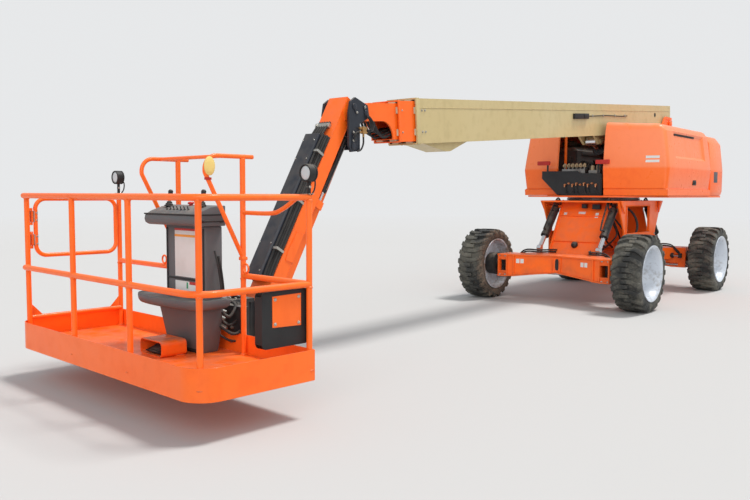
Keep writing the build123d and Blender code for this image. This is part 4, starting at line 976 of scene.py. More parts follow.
def makeTowerHoses():
    hoses = Form()
    # Bundle that falls from the rotary joint, two pairs at the sides, two along each half beam
    for index, (a, b) in enumerate(around(8, 0.3)):
        end = signOf(a)
        hoses.tube([(0.085 * a, 0.085 * b, 1.12 + 0.02 * (index % 3)), (0.17 * a, 0.15 * b, 1.09),
                    (0.26 * a, 0.3 * b, 0.9 - 0.03 * (index % 2)), (end * 0.38, 0.28 * b, 0.72),
                    (end * 0.53, 0.2 * b, 0.63)], 0.013, 8)
    sideRoute = ((0.13, 0.3, 1.3), (0.05, 0.46, 1.16), (-0.03, 0.5, 0.98), (0.1, 0.5, 0.8),
                 (0.3, 0.48, 0.66))
    beamRoute = ((0.8, 0.21, 0.622), (1.00, 0.26, 0.64), (1.21, 0.36, 0.642), (1.235, 0.55, 0.64),
                 (1.235, 0.66, 0.56), (1.255, 0.7, 0.5))
    for side in sides:
        for lag in (0, 0.028):
            hoses.tube([(x + lag, side * y, z) for x, y, z in sideRoute], 0.012, 8)
    for end in sides:
        for side in sides:
            for lag in (0, 0.026):
                hoses.tube([(end * x, side * y, z + lag) for x, y, z in beamRoute], 0.0105, 8)
    hoses.place("tower_hoses", "chassis", "hose_rubber")


ringTeeth = 92


def makeSwingRing():
    section = ((0.0002, 0.4002), (0.0002, 0.474), (0.006, 0.482), (0.03, 0.482), (0.033, 0.474),
               (0.033, 0.492), (0.0458, 0.492), (0.0458, 0.4002), (0.0002, 0.4002))
    ring = Form().lathe(section, (0, 0, 1.33), alongZ, 96)
    pitch = 2 * pi / ringTeeth
    for index in range(ringTeeth):
        rings = []
        for radius, half in ((0.478, 0.3), (0.4995, 0.17)):
            turns = [((index + share) * pitch, z)
                     for share, z in ((-half, 1.336), (half, 1.336), (half, 1.36), (-half, 1.36))]
            rings.append([(radius * cos(turn), radius * sin(turn), z) for turn, z in turns])
        ring.loft(rings)
    ring.place("swing_gear", "chassis", "bearing_steel", angle=30, replaces="swing_ring")


for end, name in ((1, "front"), (-1, "rear")):
    makeBeamFrame(end, name)
    makeSteering(end, name)
for make in (makeLevelCylinderTrim, makeTowerStiffeners, makeTowerParts, makeTowerHoses, makeTowerBolts,
             makeTowerPlates, makeSwingRing):
    make()
print("chassis trim made")

# Turntable: valve box, drives, engine, tanks and the boom's foot

deckTop = 1.398


def pinCap(form, bolts, x, z, y, radius):
    # Pin end with a bolted keeper ring, its section in shares of the pin's radius
    side = signOf(y)
    section = ((0, 1.5), (0.006, 1.5), (0.009, 1.42), (0.009, 1.05), (0.014, 1), (0.016, 0.9), (0.016, 0))
    form.lathe([(place, share * radius) for place, share in section], (x, y, z), (0, side, 0), 36)
    for a, b in around(4, pi / 4):
        spot = (x + radius * 1.28 * a, y + side * 0.009, z + radius * 1.28 * b)
        bolts.bolt(spot, (0, side, 0), radius * 0.16)


def makeUprights():
    plates, bolts = Form(), Form()
    for side in sides:
        pinCap(plates, bolts, -2.03, 2.545, side * 0.2322, 0.045)
        pinCap(plates, bolts, -1.28, 1.5, side * 0.2322, 0.032)
    rim = ((-0.925, 1.52), (-0.925, 1.632), (-1.84, 2.617), (-2.1, 2.617))
    for side in sides:
        y = side * 0.2202
        for x in (-1.9, -1.00, -1.46):
            gusset = ((x, 1.4), (x + 0.07, 1.4), (x + 0.02, 1.5), (x, 1.5))
            plates.plate(gusset, y, y + side * 0.012, bevel=0.001)
        for span in zip(rim, rim[1:]):
            plates.tube([(x, y, z) for x, z in span], 0.005, 6, 0)
    plates.place("pinCaps", "turntable", "orange_paint")
    bolts.place("pinCapBolts", "turntable", "zinc_bolt")


elbowPlaces = [(index, -0.285 + index * 0.056, 1.548 + 0.018 * (index % 2)) for index in range(9)]


def makeValves():
    cover, copper, grey, tan = (Form() for _ in range(4))
    # Cover on the front with pressed louvres and a chamfered corner
    outline = ((-0.412, 1.412), (0.222, 1.412), (0.222, 1.7), (-0.075, 1.703), (-0.105, 1.735),
               (-0.645, 1.738), (-0.645, 1.634))
    cover.plate(outline, 0.6195, 0.6255, "x", 0.0015)
    # End box in front of the right hood, 8 mm clear of it
    outline = ((-0.412, 1.414), (-0.3935, 1.414), (-0.3935, 1.733), (-0.642, 1.736), (-0.642, 1.636))
    cover.plate(outline, 0.567, 0.62, "x", 0.004)
    for z in (1.43, 1.446, 1.462):
        cover.block((0.625, -0.26, z), (0.632, -0.02, z + 0.007), bevel=0.002)
    cover.block((0.625, 0.02, 1.424), (0.63, 0.19, 1.475), bevel=0.002)
    # Carrier of the valve bank on top
    cover.block((0.48, -0.415, 1.6905), (0.612, 0.222, 1.6965), bevel=0.002)
    cover.place("valveCover", "turntable", "black_paint")

    for index, y, z in elbowPlaces:
        copper.bar((0.625, y, z), (0.64, y, z), 0.015, 6).bar((0.64, y, z), (0.662, y, z), 0.01, 16)
        if index % 3 != 1:
            copper.bar((0.655, y, z + 0.006), (0.655, y, z - 0.034), 0.0095, 12)
    copper.place("copperFittings", "turntable", "copper_fitting")

    grey.block((0.5, -0.36, 1.6966), (0.59, -0.02, 1.765), bevel=0.005)
    grey.block((0.505, 0.03, 1.6966), (0.585, 0.19, 1.745), bevel=0.005)
    coil = ((0, 0.018), (0.003, 0.022), (0.045, 0.022), (0.048, 0.018), (0.048, 0.009), (0.058, 0.009),
            (0.059, 0))
    for index in range(6):
        y = -0.335 + index * 0.058
        grey.bar((0.545, y, 1.765), (0.545, y, 1.79), 0.014, 6)
        tan.lathe(coil, (0.545, y, 1.788), alongZ, 20)
        tan.block((0.562, y - 0.01, 1.795), (0.592, y + 0.01, 1.822), bevel=0.003)
    for y in (0.07, 0.15):
        tan.lathe(((0, 0.024), (0.06, 0.024), (0.066, 0.018), (0.066, 0)), (0.545, y, 1.744), alongZ, 20)
    grey.place("valveBank", "turntable", "bearing_steel")
    tan.place("valveCoils", "turntable", "tan_plastic")


def makeValveHoses():
    hoses = Form()
    for index, y, z in elbowPlaces:
        if index % 3 != 1:
            hoses.tube([(0.655, y, z - 0.03), (0.655, y + 0.004, z - 0.07), (0.642, y + 0.016, 1.445),
                        (0.636, y + 0.03, 1.42)], 0.008, 8)
    for index in range(8):
        y = -0.34 + index * 0.07
        lift = 0.05 * (index % 3)
        hoses.tube([(0.5, y, 1.725), (0.455, y, 1.735 + lift * 0.3), (0.4, y * 0.8, 1.78 + lift),
                    (0.28, y * 0.6 - 0.02, 1.74 + lift), (0.12, y * 0.5 - 0.03, 1.6 + lift * 0.5),
                    (0, y * 0.45 - 0.03, 1.47), (-0.06, y * 0.4 - 0.03, 1.403)], 0.011)
    for index in range(4):
        y = -0.12 + index * 0.05
        hoses.tube([(0.1 - 0.02 * index, y, 1.403), (0.06, y, 1.47), (-0.2, y, 1.49), (-0.55, y * 0.9, 1.47),
                    (-0.86, y, 1.45), (-0.97, y, 1.403)], 0.012)
    hoses.place("valveHoses", "turntable", "hose_rubber")


def makeHoodLamps():
    # Red side lamps in front of the hoods, on stands from the cover
    red, stands = Form(), Form()
    for x, low, high, stand, foot in (
        (0.6, -0.72, -0.528, -0.56, 0.62), (0.658, 0.17, 0.36, 0.186, 0.626)
    ):
        red.block((x, low, 1.822), (x + 0.034, high, 1.88), bevel=0.01)
        for rib in range(1, 8):
            y = low + (high - low) * rib / 8
            red.block((x + 0.033, y - 0.002, 1.832), (x + 0.036, y + 0.002, 1.87), bevel=0.001)
        near, far = stand - 0.014, stand + 0.014
        stands.block((foot - 0.002, near, 1.69), (foot + 0.004, far, 1.87), bevel=0.001)
        stands.block((min(foot, x + 0.03), near, 1.84), (max(foot, x + 0.004), far, 1.862), bevel=0.001)
    red.place("hoodLamps", "turntable", "red_plate")
    stands.place("hoodLampStands", "turntable", "black_paint")


def makeSwingDrive():
    # Swing drive with its motor beside the bearing, and the rotary joint in the middle
    x, y = 0.27, -0.22
    drive = Form().lathe((
        (0, 0.105), (0.012, 0.105), (0.014, 0.086), (0.085, 0.086), (0.09, 0.098), (0.105, 0.098),
        (0.11, 0.078), (0.165, 0.076), (0.17, 0.055), (0.235, 0.055), (0.24, 0),
    ), (x, y, deckTop), alongZ, 40)
    drive.block((x - 0.035, y - 0.07, 1.575), (x + 0.035, y + 0.07, 1.618), bevel=0.006)
    for a, b in around(8):
        drive.bolt((x + 0.095 * a, y + 0.095 * b, deckTop + 0.012), alongZ, 0.009)
    drive.lathe((
        (0, 0.125), (0.01, 0.125), (0.012, 0.115), (0.06, 0.112), (0.066, 0.09), (0.1, 0.085), (0.104, 0),
    ), (0, 0, deckTop - 0.02), alongZ, 40)
    drive.place("swingDrive", "turntable", "engine_iron")


def makeEngine():
    # Engine under the right hood: head, cover, filter, pump, pulleys and radiator
    iron = Form().block((-1.12, -0.86, 2.12), (-0.52, -0.6, 2.155), bevel=0.008)
    iron.block((-1.08, -0.84, 2.155), (-0.56, -0.7, 2.185), bevel=0.012)
    injector = ((0, 0.018), (0.012, 0.018), (0.014, 0.01), (0.03, 0.009), (0.031, 0))
    for index in range(4):
        iron.lathe(injector, (-1.03 + index * 0.135, -0.655, 2.155), alongZ, 16)
    crank = ((0, 0.09), (0.024, 0.09), (0.026, 0.076), (0.05, 0.076), (0.054, 0.04), (0.07, 0.04), (0.07, 0))
    iron.lathe(crank, (-0.1498, -0.72, 1.7), alongX, 40)
    for radius, y, z in ((0.048, -0.6, 1.93), (0.04, -0.85, 1.96)):
        pulley = ((0, radius), (0.026, radius), (0.03, 0.03), (0.034, 0))
        iron.lathe(pulley, (-0.1498, y, z), alongX, 30)
    belt = ((-0.62, 1.97), (-0.72, 1.99), (-0.84, 1.99), (-0.885, 1.93), (-0.8, 1.66), (-0.72, 1.612),
            (-0.64, 1.68), (-0.56, 1.9), (-0.62, 1.97))
    iron.tube([(-0.138, y, z) for y, z in belt], 0.009, 8, 4)
    for z in (1.46, 1.6, 1.74, 1.88, 2.0):
        iron.block((-1.22, -0.4805, z), (-0.3, -0.4735, z + 0.05), bevel=0.003)
    iron.place("engineParts", "turntable", "engine_iron")

    start = (-0.5, -0.7, 2.165)
    canister = Form().lathe(((0, 0.055), (0.005, 0.062), (0.26, 0.062), (0.265, 0.055), (0.265, 0)),
                            start, alongX, 36)
    for place in (0.05, 0.2):
        band = ((place, 0.06), (place + 0.002, 0.065), (place + 0.016, 0.065), (place + 0.018, 0.06))
        canister.lathe(band, start, alongX, 36)
    canister.place("airFilter", "turntable", "tank_plastic")
    pipes = Form().tube([start, (-0.54, -0.7, 2.172), (-0.56, -0.66, 2.172), (-0.6, -0.64, 2.16)], 0.028, 14)
    for y in (-0.6, -0.8):
        pipes.tube([(-0.16, y, 1.8), (-0.11, y, 1.8), (-0.09, y + 0.02, 1.76), (-0.12, y + 0.03, 1.66),
                    (-0.152, y + 0.03, 1.62)], 0.016, 12)
    pipes.place("enginePipes", "turntable", "hose_rubber")


def makeTanks():
    caps, straps, filters = Form(), Form(), Form()
    cap = ((0, 0.052), (0.012, 0.052), (0.014, 0.06), (0.038, 0.06), (0.044, 0.054), (0.046, 0))
    for x, y, z in ((-1.05, 0.62, 2.05), (-0.1, 0.62, 1.95)):
        caps.lathe(cap, (x, y, z), alongZ, 36)
        for a, b in around(12):
            tab, half = Vector((x + 0.058 * a, y + 0.058 * b, z + 0.026)), Vector((0.004, 0.004, 0.01))
            caps.block(tab - half, tab + half, bevel=0.001)
    caps.place("tankCaps", "turntable", "black_plastic")
    for places, far, top in (((-1.12, -0.62), 0.918, 2.04), ((-0.22, 0.06), 0.888, 1.94)):
        for x in places:
            over = ((0.3575, 1.42), (0.3575, top), (0.372, top + 0.0135), (far, top + 0.0135),
                    (far + 0.0145, top), (far + 0.0145, 1.42))
            straps.tube([(x, y, z) for y, z in over], 0.0065, 8, 0)
    for index in range(6):
        straps.bolt((-0.85 + index * 0.03, 0.5 + 0.035 * (index % 2), 2.05), alongZ, 0.006)
    straps.place("tankStraps", "turntable", "bearing_steel")
    canister = ((0, 0.045), (0.005, 0.05), (0.085, 0.05), (0.092, 0.042), (0.094, 0))
    for y in (0.47, 0.78):
        filters.lathe(canister, (-0.85, y, 2.05), alongZ, 30)
    filters.place("oilFilters", "turntable", "white_plate")


for make in (makeUprights, makeValves, makeHoodLamps, makeValveHoses, makeSwingDrive, makeEngine, makeTanks):
    make()
print("turntable dressed")

# Boom and jib: s runs along the boom or the jib from its upper pin, n square to it

boomHinge, boomSlope = (-2.03, 2.545), -4.5
jibTop, jibSlope = (5.625, 2.15), -59.4
jibLower = (5.637, 1.81)
jibFoot = (6.5565, 0.5749)
jibLowerFoot = (6.5685, 0.2349)


def alongLine(start, slope, s, n, y=0):
    turn = radians(slope)
    return Vector((start[0] + s * cos(turn) - n * sin(turn), y, start[1] + s * sin(turn) + n * cos(turn)))


def boomPoint(s, n, y=0):
    return alongLine(boomHinge, boomSlope, s, n, y)


def jibPoint(s, n, y=0):
    return alongLine(jibTop, jibSlope, s, n, y)


def turnAt(start, slope):
    return Matrix.Translation((start[0], 0, start[1])) @ Matrix.Rotation(radians(-slope), 4, "Y")


boomTurn, jibTurn = turnAt(boomHinge, boomSlope), turnAt(jibTop, jibSlope)
boomAhead, boomUp = (alongLine((0, 0), boomSlope, *way) for way in ((1, 0), (0, 1)))
jibUp = alongLine((0, 0), jibSlope, 0, 1)


def collar(form, tip, width, height, thick, length, middle=0.08):
    # Four flats around a section's mouth
    half, tall = width / 2, height / 2
    for side in sides:
        form.block((tip - length, side * half, middle - tall), (tip, side * (half + thick), middle + tall),
                   boomTurn, 0.0015)
    for side in sides[::-1]:
        form.block((tip - length, -half, middle + side * tall), (tip, half, middle + side * (tall + thick)),
                   boomTurn, 0.0015)


def makeBoomTrim():
    cream, bolts, dark, clips = (Form() for _ in range(4))
    collar(cream, 6.796, 0.34, 0.422, 0.006, 0.055)
    # Weld beads along the lower corners, where the two halves meet
    for side in sides:
        cream.tube([boomPoint(s, 0.205, side * 0.1705) for s in (-0.17, 3.3, 6.74)], 0.004, 6, 1)
    for s in (0.25, 1.15):
        for side in sides:
            cream.block((s, side * 0.1698, -0.11), (s + 0.26, side * 0.1778, 0.02), boomTurn, 0.002)
    cream.place("boomSeams", "base_boom", "cream_paint")

    for s in (6.655, 6.705):
        for side in sides:
            for n in (-0.02, 0.18):
                bolts.bolt(boomPoint(s, n, side * 0.17), (0, side, 0), 0.009)
            bolts.bolt(boomPoint(s, 0.291, side * 0.08), boomUp, 0.009)
            bolts.bolt(boomPoint(s, -0.131, side * 0.08), -boomUp, 0.009)
    for n in (0.055, 0.225):
        for side in sides:
            bolts.bolt(boomPoint(-0.179, n, side * 0.115), -boomAhead, 0.009)
    bolts.place("padBolts", "base_boom", "zinc_bolt")

    # Switch box on the left side with its cable, a round access hole and the rear cover
    dark.block((3.02, 0.17, 0.092), (3.44, 0.204, 0.16), boomTurn, 0.006)
    dark.block((3.06, 0.203, 0.104), (3.18, 0.212, 0.148), boomTurn, 0.003)
    cable = ((3.03, 0.13), (2.9, 0.128), (2.4, 0.136), (1.9, 0.127), (1.66, 0.132))
    dark.tube([boomPoint(s, n, 0.176) for s, n in cable], 0.006, 8)
    # Painted shade: a black disc on the side stands in for the dark inside of the round access hole
    dark.lathe(((0, 0.034), (0.002, 0.034), (0.003, 0.03), (0.0015, 0.028), (0.001, 0)),
               boomPoint(0.52, 0.146, 0.17), alongY, 28)
    dark.block((-0.179, -0.14, -0.01), (-0.174, 0.14, 0.25), boomTurn, 0.002)
    dark.place("boomSwitches", "base_boom", "black_plastic")
    for s in (1.75, 2.1, 2.5, 2.85):
        clips.block((s, 0.1705, 0.116), (s + 0.018, 0.184, 0.15), boomTurn, 0.002)
    clips.place("cableClips", "base_boom", "zinc_bolt")

    middle, midBolts, fly, fittings, hoses = (Form() for _ in range(5))
    collar(middle, 7.042, 0.3, 0.372, 0.005, 0.028)
    middle.place("midCollar", "mid_boom", "orange_paint")
    for side in sides:
        for n in (-0.02, 0.18):
            midBolts.bolt(boomPoint(6.985, n, side * 0.15), (0, side, 0), 0.0065, 0.004)
        fly.lathe(((0, 0.052), (0.008, 0.051), (0.01, 0.046), (0.01, 0.03)),
                  (5.47, side * 0.1302, 2.105), (0, side, 0), 30)
    midBolts.place("midBolts", "mid_boom", "zinc_bolt")
    fly.place("flyBosses", "fly_boom", "orange_paint")
    # Valve block and elbows in the mouth of the fly head
    fittings.block((7.36, -0.09, 0.095), (7.47, 0.09, 0.165), boomTurn, 0.006)
    for y in (-0.06, -0.02, 0.02, 0.06):
        for start, end, radius in ((7.465, 7.505, 0.014), (7.36, 7.325, 0.012)):
            fittings.bar(boomPoint(start, 0.13, y), boomPoint(end, 0.13, y), radius, 6)
    fittings.place("flyFittings", "fly_boom", "brass_fitting")
    for index, y in enumerate((-0.095, -0.06, -0.02, 0.02, 0.06, 0.095)):
        drop = 0.02 * (index % 3)
        route = ((6.95, 0.03), (7.1, -drop), (7.22, -0.01 - drop), (7.31, 0.045), (7.335, 0.125))
        hoses.tube([boomPoint(s, n, y * (1 - 0.1 * (index % 2))) for s, n in route], 0.011)
    hoses.place("flyHoses", "fly_boom", "hose_rubber")


def keeper(form, bolts, center, y, angle):
    # Pin end with a flat keeper held by one bolt
    side = signOf(y)
    base = Vector((center[0], y, center[1]))
    form.lathe(((0, 0.027), (0.007, 0.027), (0.01, 0.022), (0.01, 0)), base, (0, side, 0), 26)
    reach, cross = Vector((cos(angle), 0, sin(angle))), Vector((-sin(angle), 0, cos(angle)))
    outline = ((0.012, -0.016), (0.062, -0.016), (0.07, -0.008), (0.07, 0.008), (0.062, 0.016),
               (0.012, 0.016))
    form.loft([[base + reach * a + cross * b + Vector((0, side * lift, 0)) for a, b in outline]
               for lift in (0, 0.006)])
    bolts.bolt(base + reach * 0.054 + Vector((0, side * 0.006, 0)), (0, side, 0), 0.008)


def makeBracketTrim():
    plates, bolts, valves, hoses = (Form() for _ in range(4))
    for side in sides:
        for center, angle in (((5.47, 2.105), 1.15), (jibTop, -2.1), (jibLower, 1.45)):
            keeper(plates, bolts, center, side * 0.1603, angle)
    keeper(plates, bolts, (5.625, 1.88), 0.1603, 1.3)
    plates.place("bracketKeepers", "jib_bracket", "slate_paint")
    bolts.place("bracketBolts", "jib_bracket", "zinc_bolt")
    valves.block((5.556, -0.128, 1.985), (5.598, -0.108, 2.055), bevel=0.004)
    valves.block((5.505, 0.1602, 1.925), (5.551, 0.196, 1.985), bevel=0.005)
    y = 0.178
    for start, end in (((5.552, 1.938), (5.582, 1.938)), ((5.505, 1.938), (5.484, 1.938)),
                       ((5.552, 1.97), (5.582, 1.97)), ((5.505, 1.97), (5.484, 1.97)),
                       ((5.528, 1.925), (5.528, 1.898))):
        valves.bar((start[0], y, start[1]), (end[0], y, end[1]), 0.01, 6)
    valves.place("bracketValve", "jib_bracket", "brass_fitting")
    for index in range(3):
        y = 0.172 + 0.01 * index
        hoses.tube([(5.484 - 0.012 * index, y, 1.938 + 0.016 * index), (5.44 - 0.008 * index, y, 1.955),
                    (5.425 - 0.01 * index, y, 2.01), (5.44, y, 2.055), (5.47, y - 0.004, 2.078)], 0.008)
    for route in (
        ((5.582, 0.178, 1.938), (5.622, 0.182, 1.93), (5.64, 0.178, 1.9), (5.641, 0.172, 1.862)),
        ((5.528, 0.178, 1.898), (5.532, 0.18, 1.84), (5.56, 0.178, 1.79), (5.6, 0.172, 1.775)),
    ):
        hoses.tube(route, 0.008)
    hoses.place("bracketHoses", "jib_bracket", "hose_rubber")


def makeJibArm():
    # Doublers near both pins and on the stiffened foot, long welds at the four edges
    orange = Form()
    for side in sides:
        for outline in (
            ((1.205, -0.06), (1.46, -0.064), (1.475, 0.018), (1.4, 0.03), (1.215, 0.016)),
            ((1.745, -0.058), (1.885, -0.058), (1.885, 0.058), (1.745, 0.058), (1.7, 0)),
            ((-0.055, -0.06), (0.085, -0.06), (0.135, 0), (0.085, 0.06), (-0.055, 0.06)),
        ):
            orange.loft([[jibPoint(s, n, side * place) for s, n in outline] for place in (0.105, 0.111)])
    for n in (-0.062, 0.062):
        for y in (-0.1045, 0.1045):
            orange.tube([jibPoint(s, n, y) for s in (0.13, 0.9, 1.7)], 0.0038, 6, 1)
    orange.place("jibDoublers", "jib_arm", "orange_paint")


def makeJibLink():
    link = Form()
    boss = ((0, 0.036), (0.003, 0.036), (0.0045, 0.032), (0.0045, 0.0225))
    for x, z in (jibLower, jibLowerFoot):
        for y, side in ((-0.1, -1), (0.02, 1)):
            link.lathe(boss, (x, y, z), (0, side, 0), 28)
    for n in (-0.038, 0.038):
        for y in (-0.0985, 0.0185):
            link.tube([alongLine(jibLower, jibSlope, s, n, y) for s in (0.06, 0.9, 1.77)], 0.003, 6, 1)
    link.place("linkBosses", "jib_link", "orange_paint")


def makeHoseGuard():
    # Open channel over the hoses, short of the pin, with its cross ribs and hose shelves
    guard, hosesAndShadeBand, clamp = Form(), Form(), Form()
    low, high = 0.0655, 0.165
    outer = ((-0.105, low), (-0.105, high - 0.012), (-0.093, high), (0.047, high), (0.0597, high - 0.012),
             (0.0597, low))
    inner = ((0.0537, low), (0.0537, high - 0.014), (0.045, high - 0.006), (-0.091, high - 0.006),
             (-0.099, high - 0.014), (-0.099, low))
    guard.loft([[jibPoint(s, n, y) for y, n in outer + inner] for s in (0.375, 0.379, 1.69, 1.694)])
    rib = ((-0.098, low), (-0.098, high - 0.008), (0.053, high - 0.008), (0.053, low))
    shelf = ((0.0597, low), (0.0597, low + 0.005), (0.088, low + 0.005), (0.088, low))
    for section, length, starts in ((rib, 0.006, (0.42, 0.8, 1.2, 1.62)),
                                    (shelf, 0.05, (0.46, 0.86, 1.26, 1.58))):
        for start in starts:
            guard.loft([[jibPoint(s, n, y) for y, n in section] for s in (start, start + length)])
    guard.place("hoseGuard", "jib_arm", "slate_paint", bevel=0.0015, replaces="jib_hose_guard")

    # Dark hose pack along the guard's side, partly hoses and partly painted shade: it widens the dark band where
    # that side lies in shade; and the hoses that enter it from the pin
    swayStations = ((0.36, -0.004), (0.55, 0), (0.85, 0.002), (1.15, -0.002), (1.45, 0), (1.672, -0.003))
    for y, n, radius in ((0.073, 0.083, 0.0125), (0.073, 0.109, 0.0125), (0.072, 0.134, 0.0115),
                         (0.096, 0.08, 0.011), (0.094, 0.104, 0.0105)):
        hosesAndShadeBand.tube([jibPoint(s, n + sway, y) for s, sway in swayStations], radius, 10, 5)
    entry = ((0.5, 0.105), (0.375, 0.108), (0.3, 0.098), (0.235, 0.084), (0.205, 0.076))
    for index in range(5):
        hosesAndShadeBand.tube([jibPoint(s, n, -0.078 + 0.028 * index) for s, n in entry], 0.0105)
    hosesAndShadeBand.place("jibHosesAndShadeBand", "jib_arm", "hose_rubber")

    clamp.block((0.225, -0.1, 0.0655), (0.262, 0.056, 0.098), jibTurn, 0.004)
    for y in (-0.085, 0.041):
        clamp.bolt(jibPoint(0.243, 0.098, y), jibUp, 0.008)
    for s in (0.52, 0.98, 1.42):
        clamp.block((s, 0.0597, 0.066), (s + 0.022, 0.11, 0.149), jibTurn, 0.003)
    for s in (0.44, 0.62, 1.0, 1.4, 1.64):
        for y in (-0.088, 0.038):
            clamp.bolt(jibPoint(s, high, y), jibUp, 0.005, 0.003)
    clamp.place("hoseClamps", "jib_arm", "zinc_bolt")


def cylinderTrim(name, body, start, end, y, radius, reach, port, up):
    # Gland, end ring, ports and a pipe along a barrel, from its base to its mouth
    start, end = (Vector((x, y, z)) for x, z in (start, end))
    axis = (end - start).normalized()
    tip = (end - start).length * reach
    mouth, base = start + axis * tip, start + axis * port + up * radius
    gland = ((-0.05, 1.0), (-0.048, 1.13), (-0.004, 1.13), (0, 1.08), (0.006, 0.8), (0.006, 0.66))
    endRing = ((0, 1.0), (0.004, 1.1), (0.03, 1.1), (0.034, 1.0))
    rings = Form()
    for section, place in ((gland, mouth), (endRing, start + axis * 0.07)):
        rings.lathe([(along, share * radius) for along, share in section], place, axis, 36)
    rings.place(name + "Gland", body, "black_paint")
    pipe = Form().tube([
        base - up * 0.01, base + up * radius * 0.28, base + up * radius * 0.34 + axis * 0.05,
        mouth - axis * 0.12 + up * radius * 1.34, mouth - axis * 0.03 + up * radius * 1.3,
        mouth - axis * 0.025 + up * radius * 1.02,
    ], radius * 0.13)
    pipe.place(name + "Pipe", body, "bearing_steel")
    outlet = mouth - axis * 0.025 + up * radius
    ports = Form().bar(outlet, outlet + up * radius * 0.22, radius * 0.26, 6)
    ports.bar(base - up * 0.004, base + up * radius * 0.2, radius * 0.26, 6)
    ports.place(name + "Ports", body, "brass_fitting")


def makeJibHeadTrim():
    plates, bolts, hoses = Form(), Form(), Form()
    for side in sides:
        keeper(plates, bolts, jibFoot, side * 0.1352, 0.9)
        keeper(plates, bolts, jibLowerFoot, side * 0.1352, 1.2)
    plates.place("headKeepers", "jib_head", "black_paint")
    bolts.place("headBolts", "jib_head", "zinc_bolt")
    # Rotator's motor and its hoses, on the side away from the platform
    profile = ((0, 0.052), (0.016, 0.052), (0.018, 0.046), (0.036, 0.044), (0.04, 0.036), (0.04, 0))
    motor = Form().lathe(profile, (6.663, -0.1335, 0.41), (0, -1, 0), 30)
    motor.place("rotatorMotor", "jib_head", "engine_iron")
    route = ((0, -0.156, 0.445), (-0.002, -0.16, 0.48), (-0.022, -0.158, 0.525), (-0.046, -0.15, 0.558),
             (-0.056, -0.139, 0.575))
    for start in (6.65, 6.676):
        hoses.tube([(start + x, y, z) for x, y, z in route], 0.009)
    hoses.place("rotatorHoses", "jib_head", "hose_rubber")


for make in (makeBoomTrim, makeBracketTrim, makeJibArm, makeHoseGuard, makeJibLink):
    make()
liftUp = Vector((-0.65, 0, 1.7)).normalized()
cylinderTrim("liftCylinder", "lift_barrel", (-1.28, 1.5), (0.42, 2.15), 0, 0.085, 0.86, 0.16, liftUp)
jibLug = jibPoint(0.9, -0.12).xz
cylinderTrim("jibCylinder", "jib_barrel", (5.625, 1.88), jibLug, 0.06, 0.024, 0.8, 0.07, Vector(alongY))
makeJibHeadTrim()
print("boom and jib dressed")

# Platform, in metres from the rotator's axis, square to its own floor

deck = {
    "floor": 0.3075,
    "midRail": 0.851,
    "topRail": 1.39,
    "back": 0.2983,
    "front": 1.1137,
    "left": 1.1707,
    "right": -1.2207,
    "hoops": (-0.31, 0.49),
}
console = {
    "back": 0.354,
    "column": (0.494, -0.17, 0.33, 0.66, 1.19),  # front, right, left, bottom, top
    "tray": (0.684, -0.43, 0.42),  # front, right, left
    "head": (-0.26, 0.37),  # right, left
    "headSide": (
        (0.354, 1.19), (0.578, 1.19), (0.606, 1.206), (0.614, 1.232), (0.606, 1.262),
        (0.56, 1.288), (0.47, 1.318), (0.4, 1.329), (0.354, 1.329),
    ),
    "foot": (
        # height, back, front, right, left
        (0.3076, 0.366, 0.5, -0.115, 0.275), (0.35, 0.36, 0.516, -0.125, 0.285),
        (0.615, 0.354, 0.554, -0.17, 0.33),
    ),
    "trayLevels": (
        # height, inset
        (0.621, 0.05), (0.628, 0.022), (0.645, 0.006), (0.672, 0), (0.689, 0.004), (0.69, 0.012),
        (0.683, 0.018), (0.682, 0.05),
    ),
}


def trayRing(z, inset, steps=28):
    # Straight at the back, a long round front
    front, low, high = console["tray"]
    middle, half = (low + high) / 2, (high - low) / 2 - inset
    back = console["back"] + inset
    ring = [(back, middle + half, z), (back, middle - half, z)]
    for index in range(steps + 1):
        turn = -pi / 2 + pi * index / steps
        reach = (front - inset - back - 0.12) * cos(turn) ** 0.62
        ring.append((back + 0.12 + reach, middle + half * sin(turn), z))
    return ring


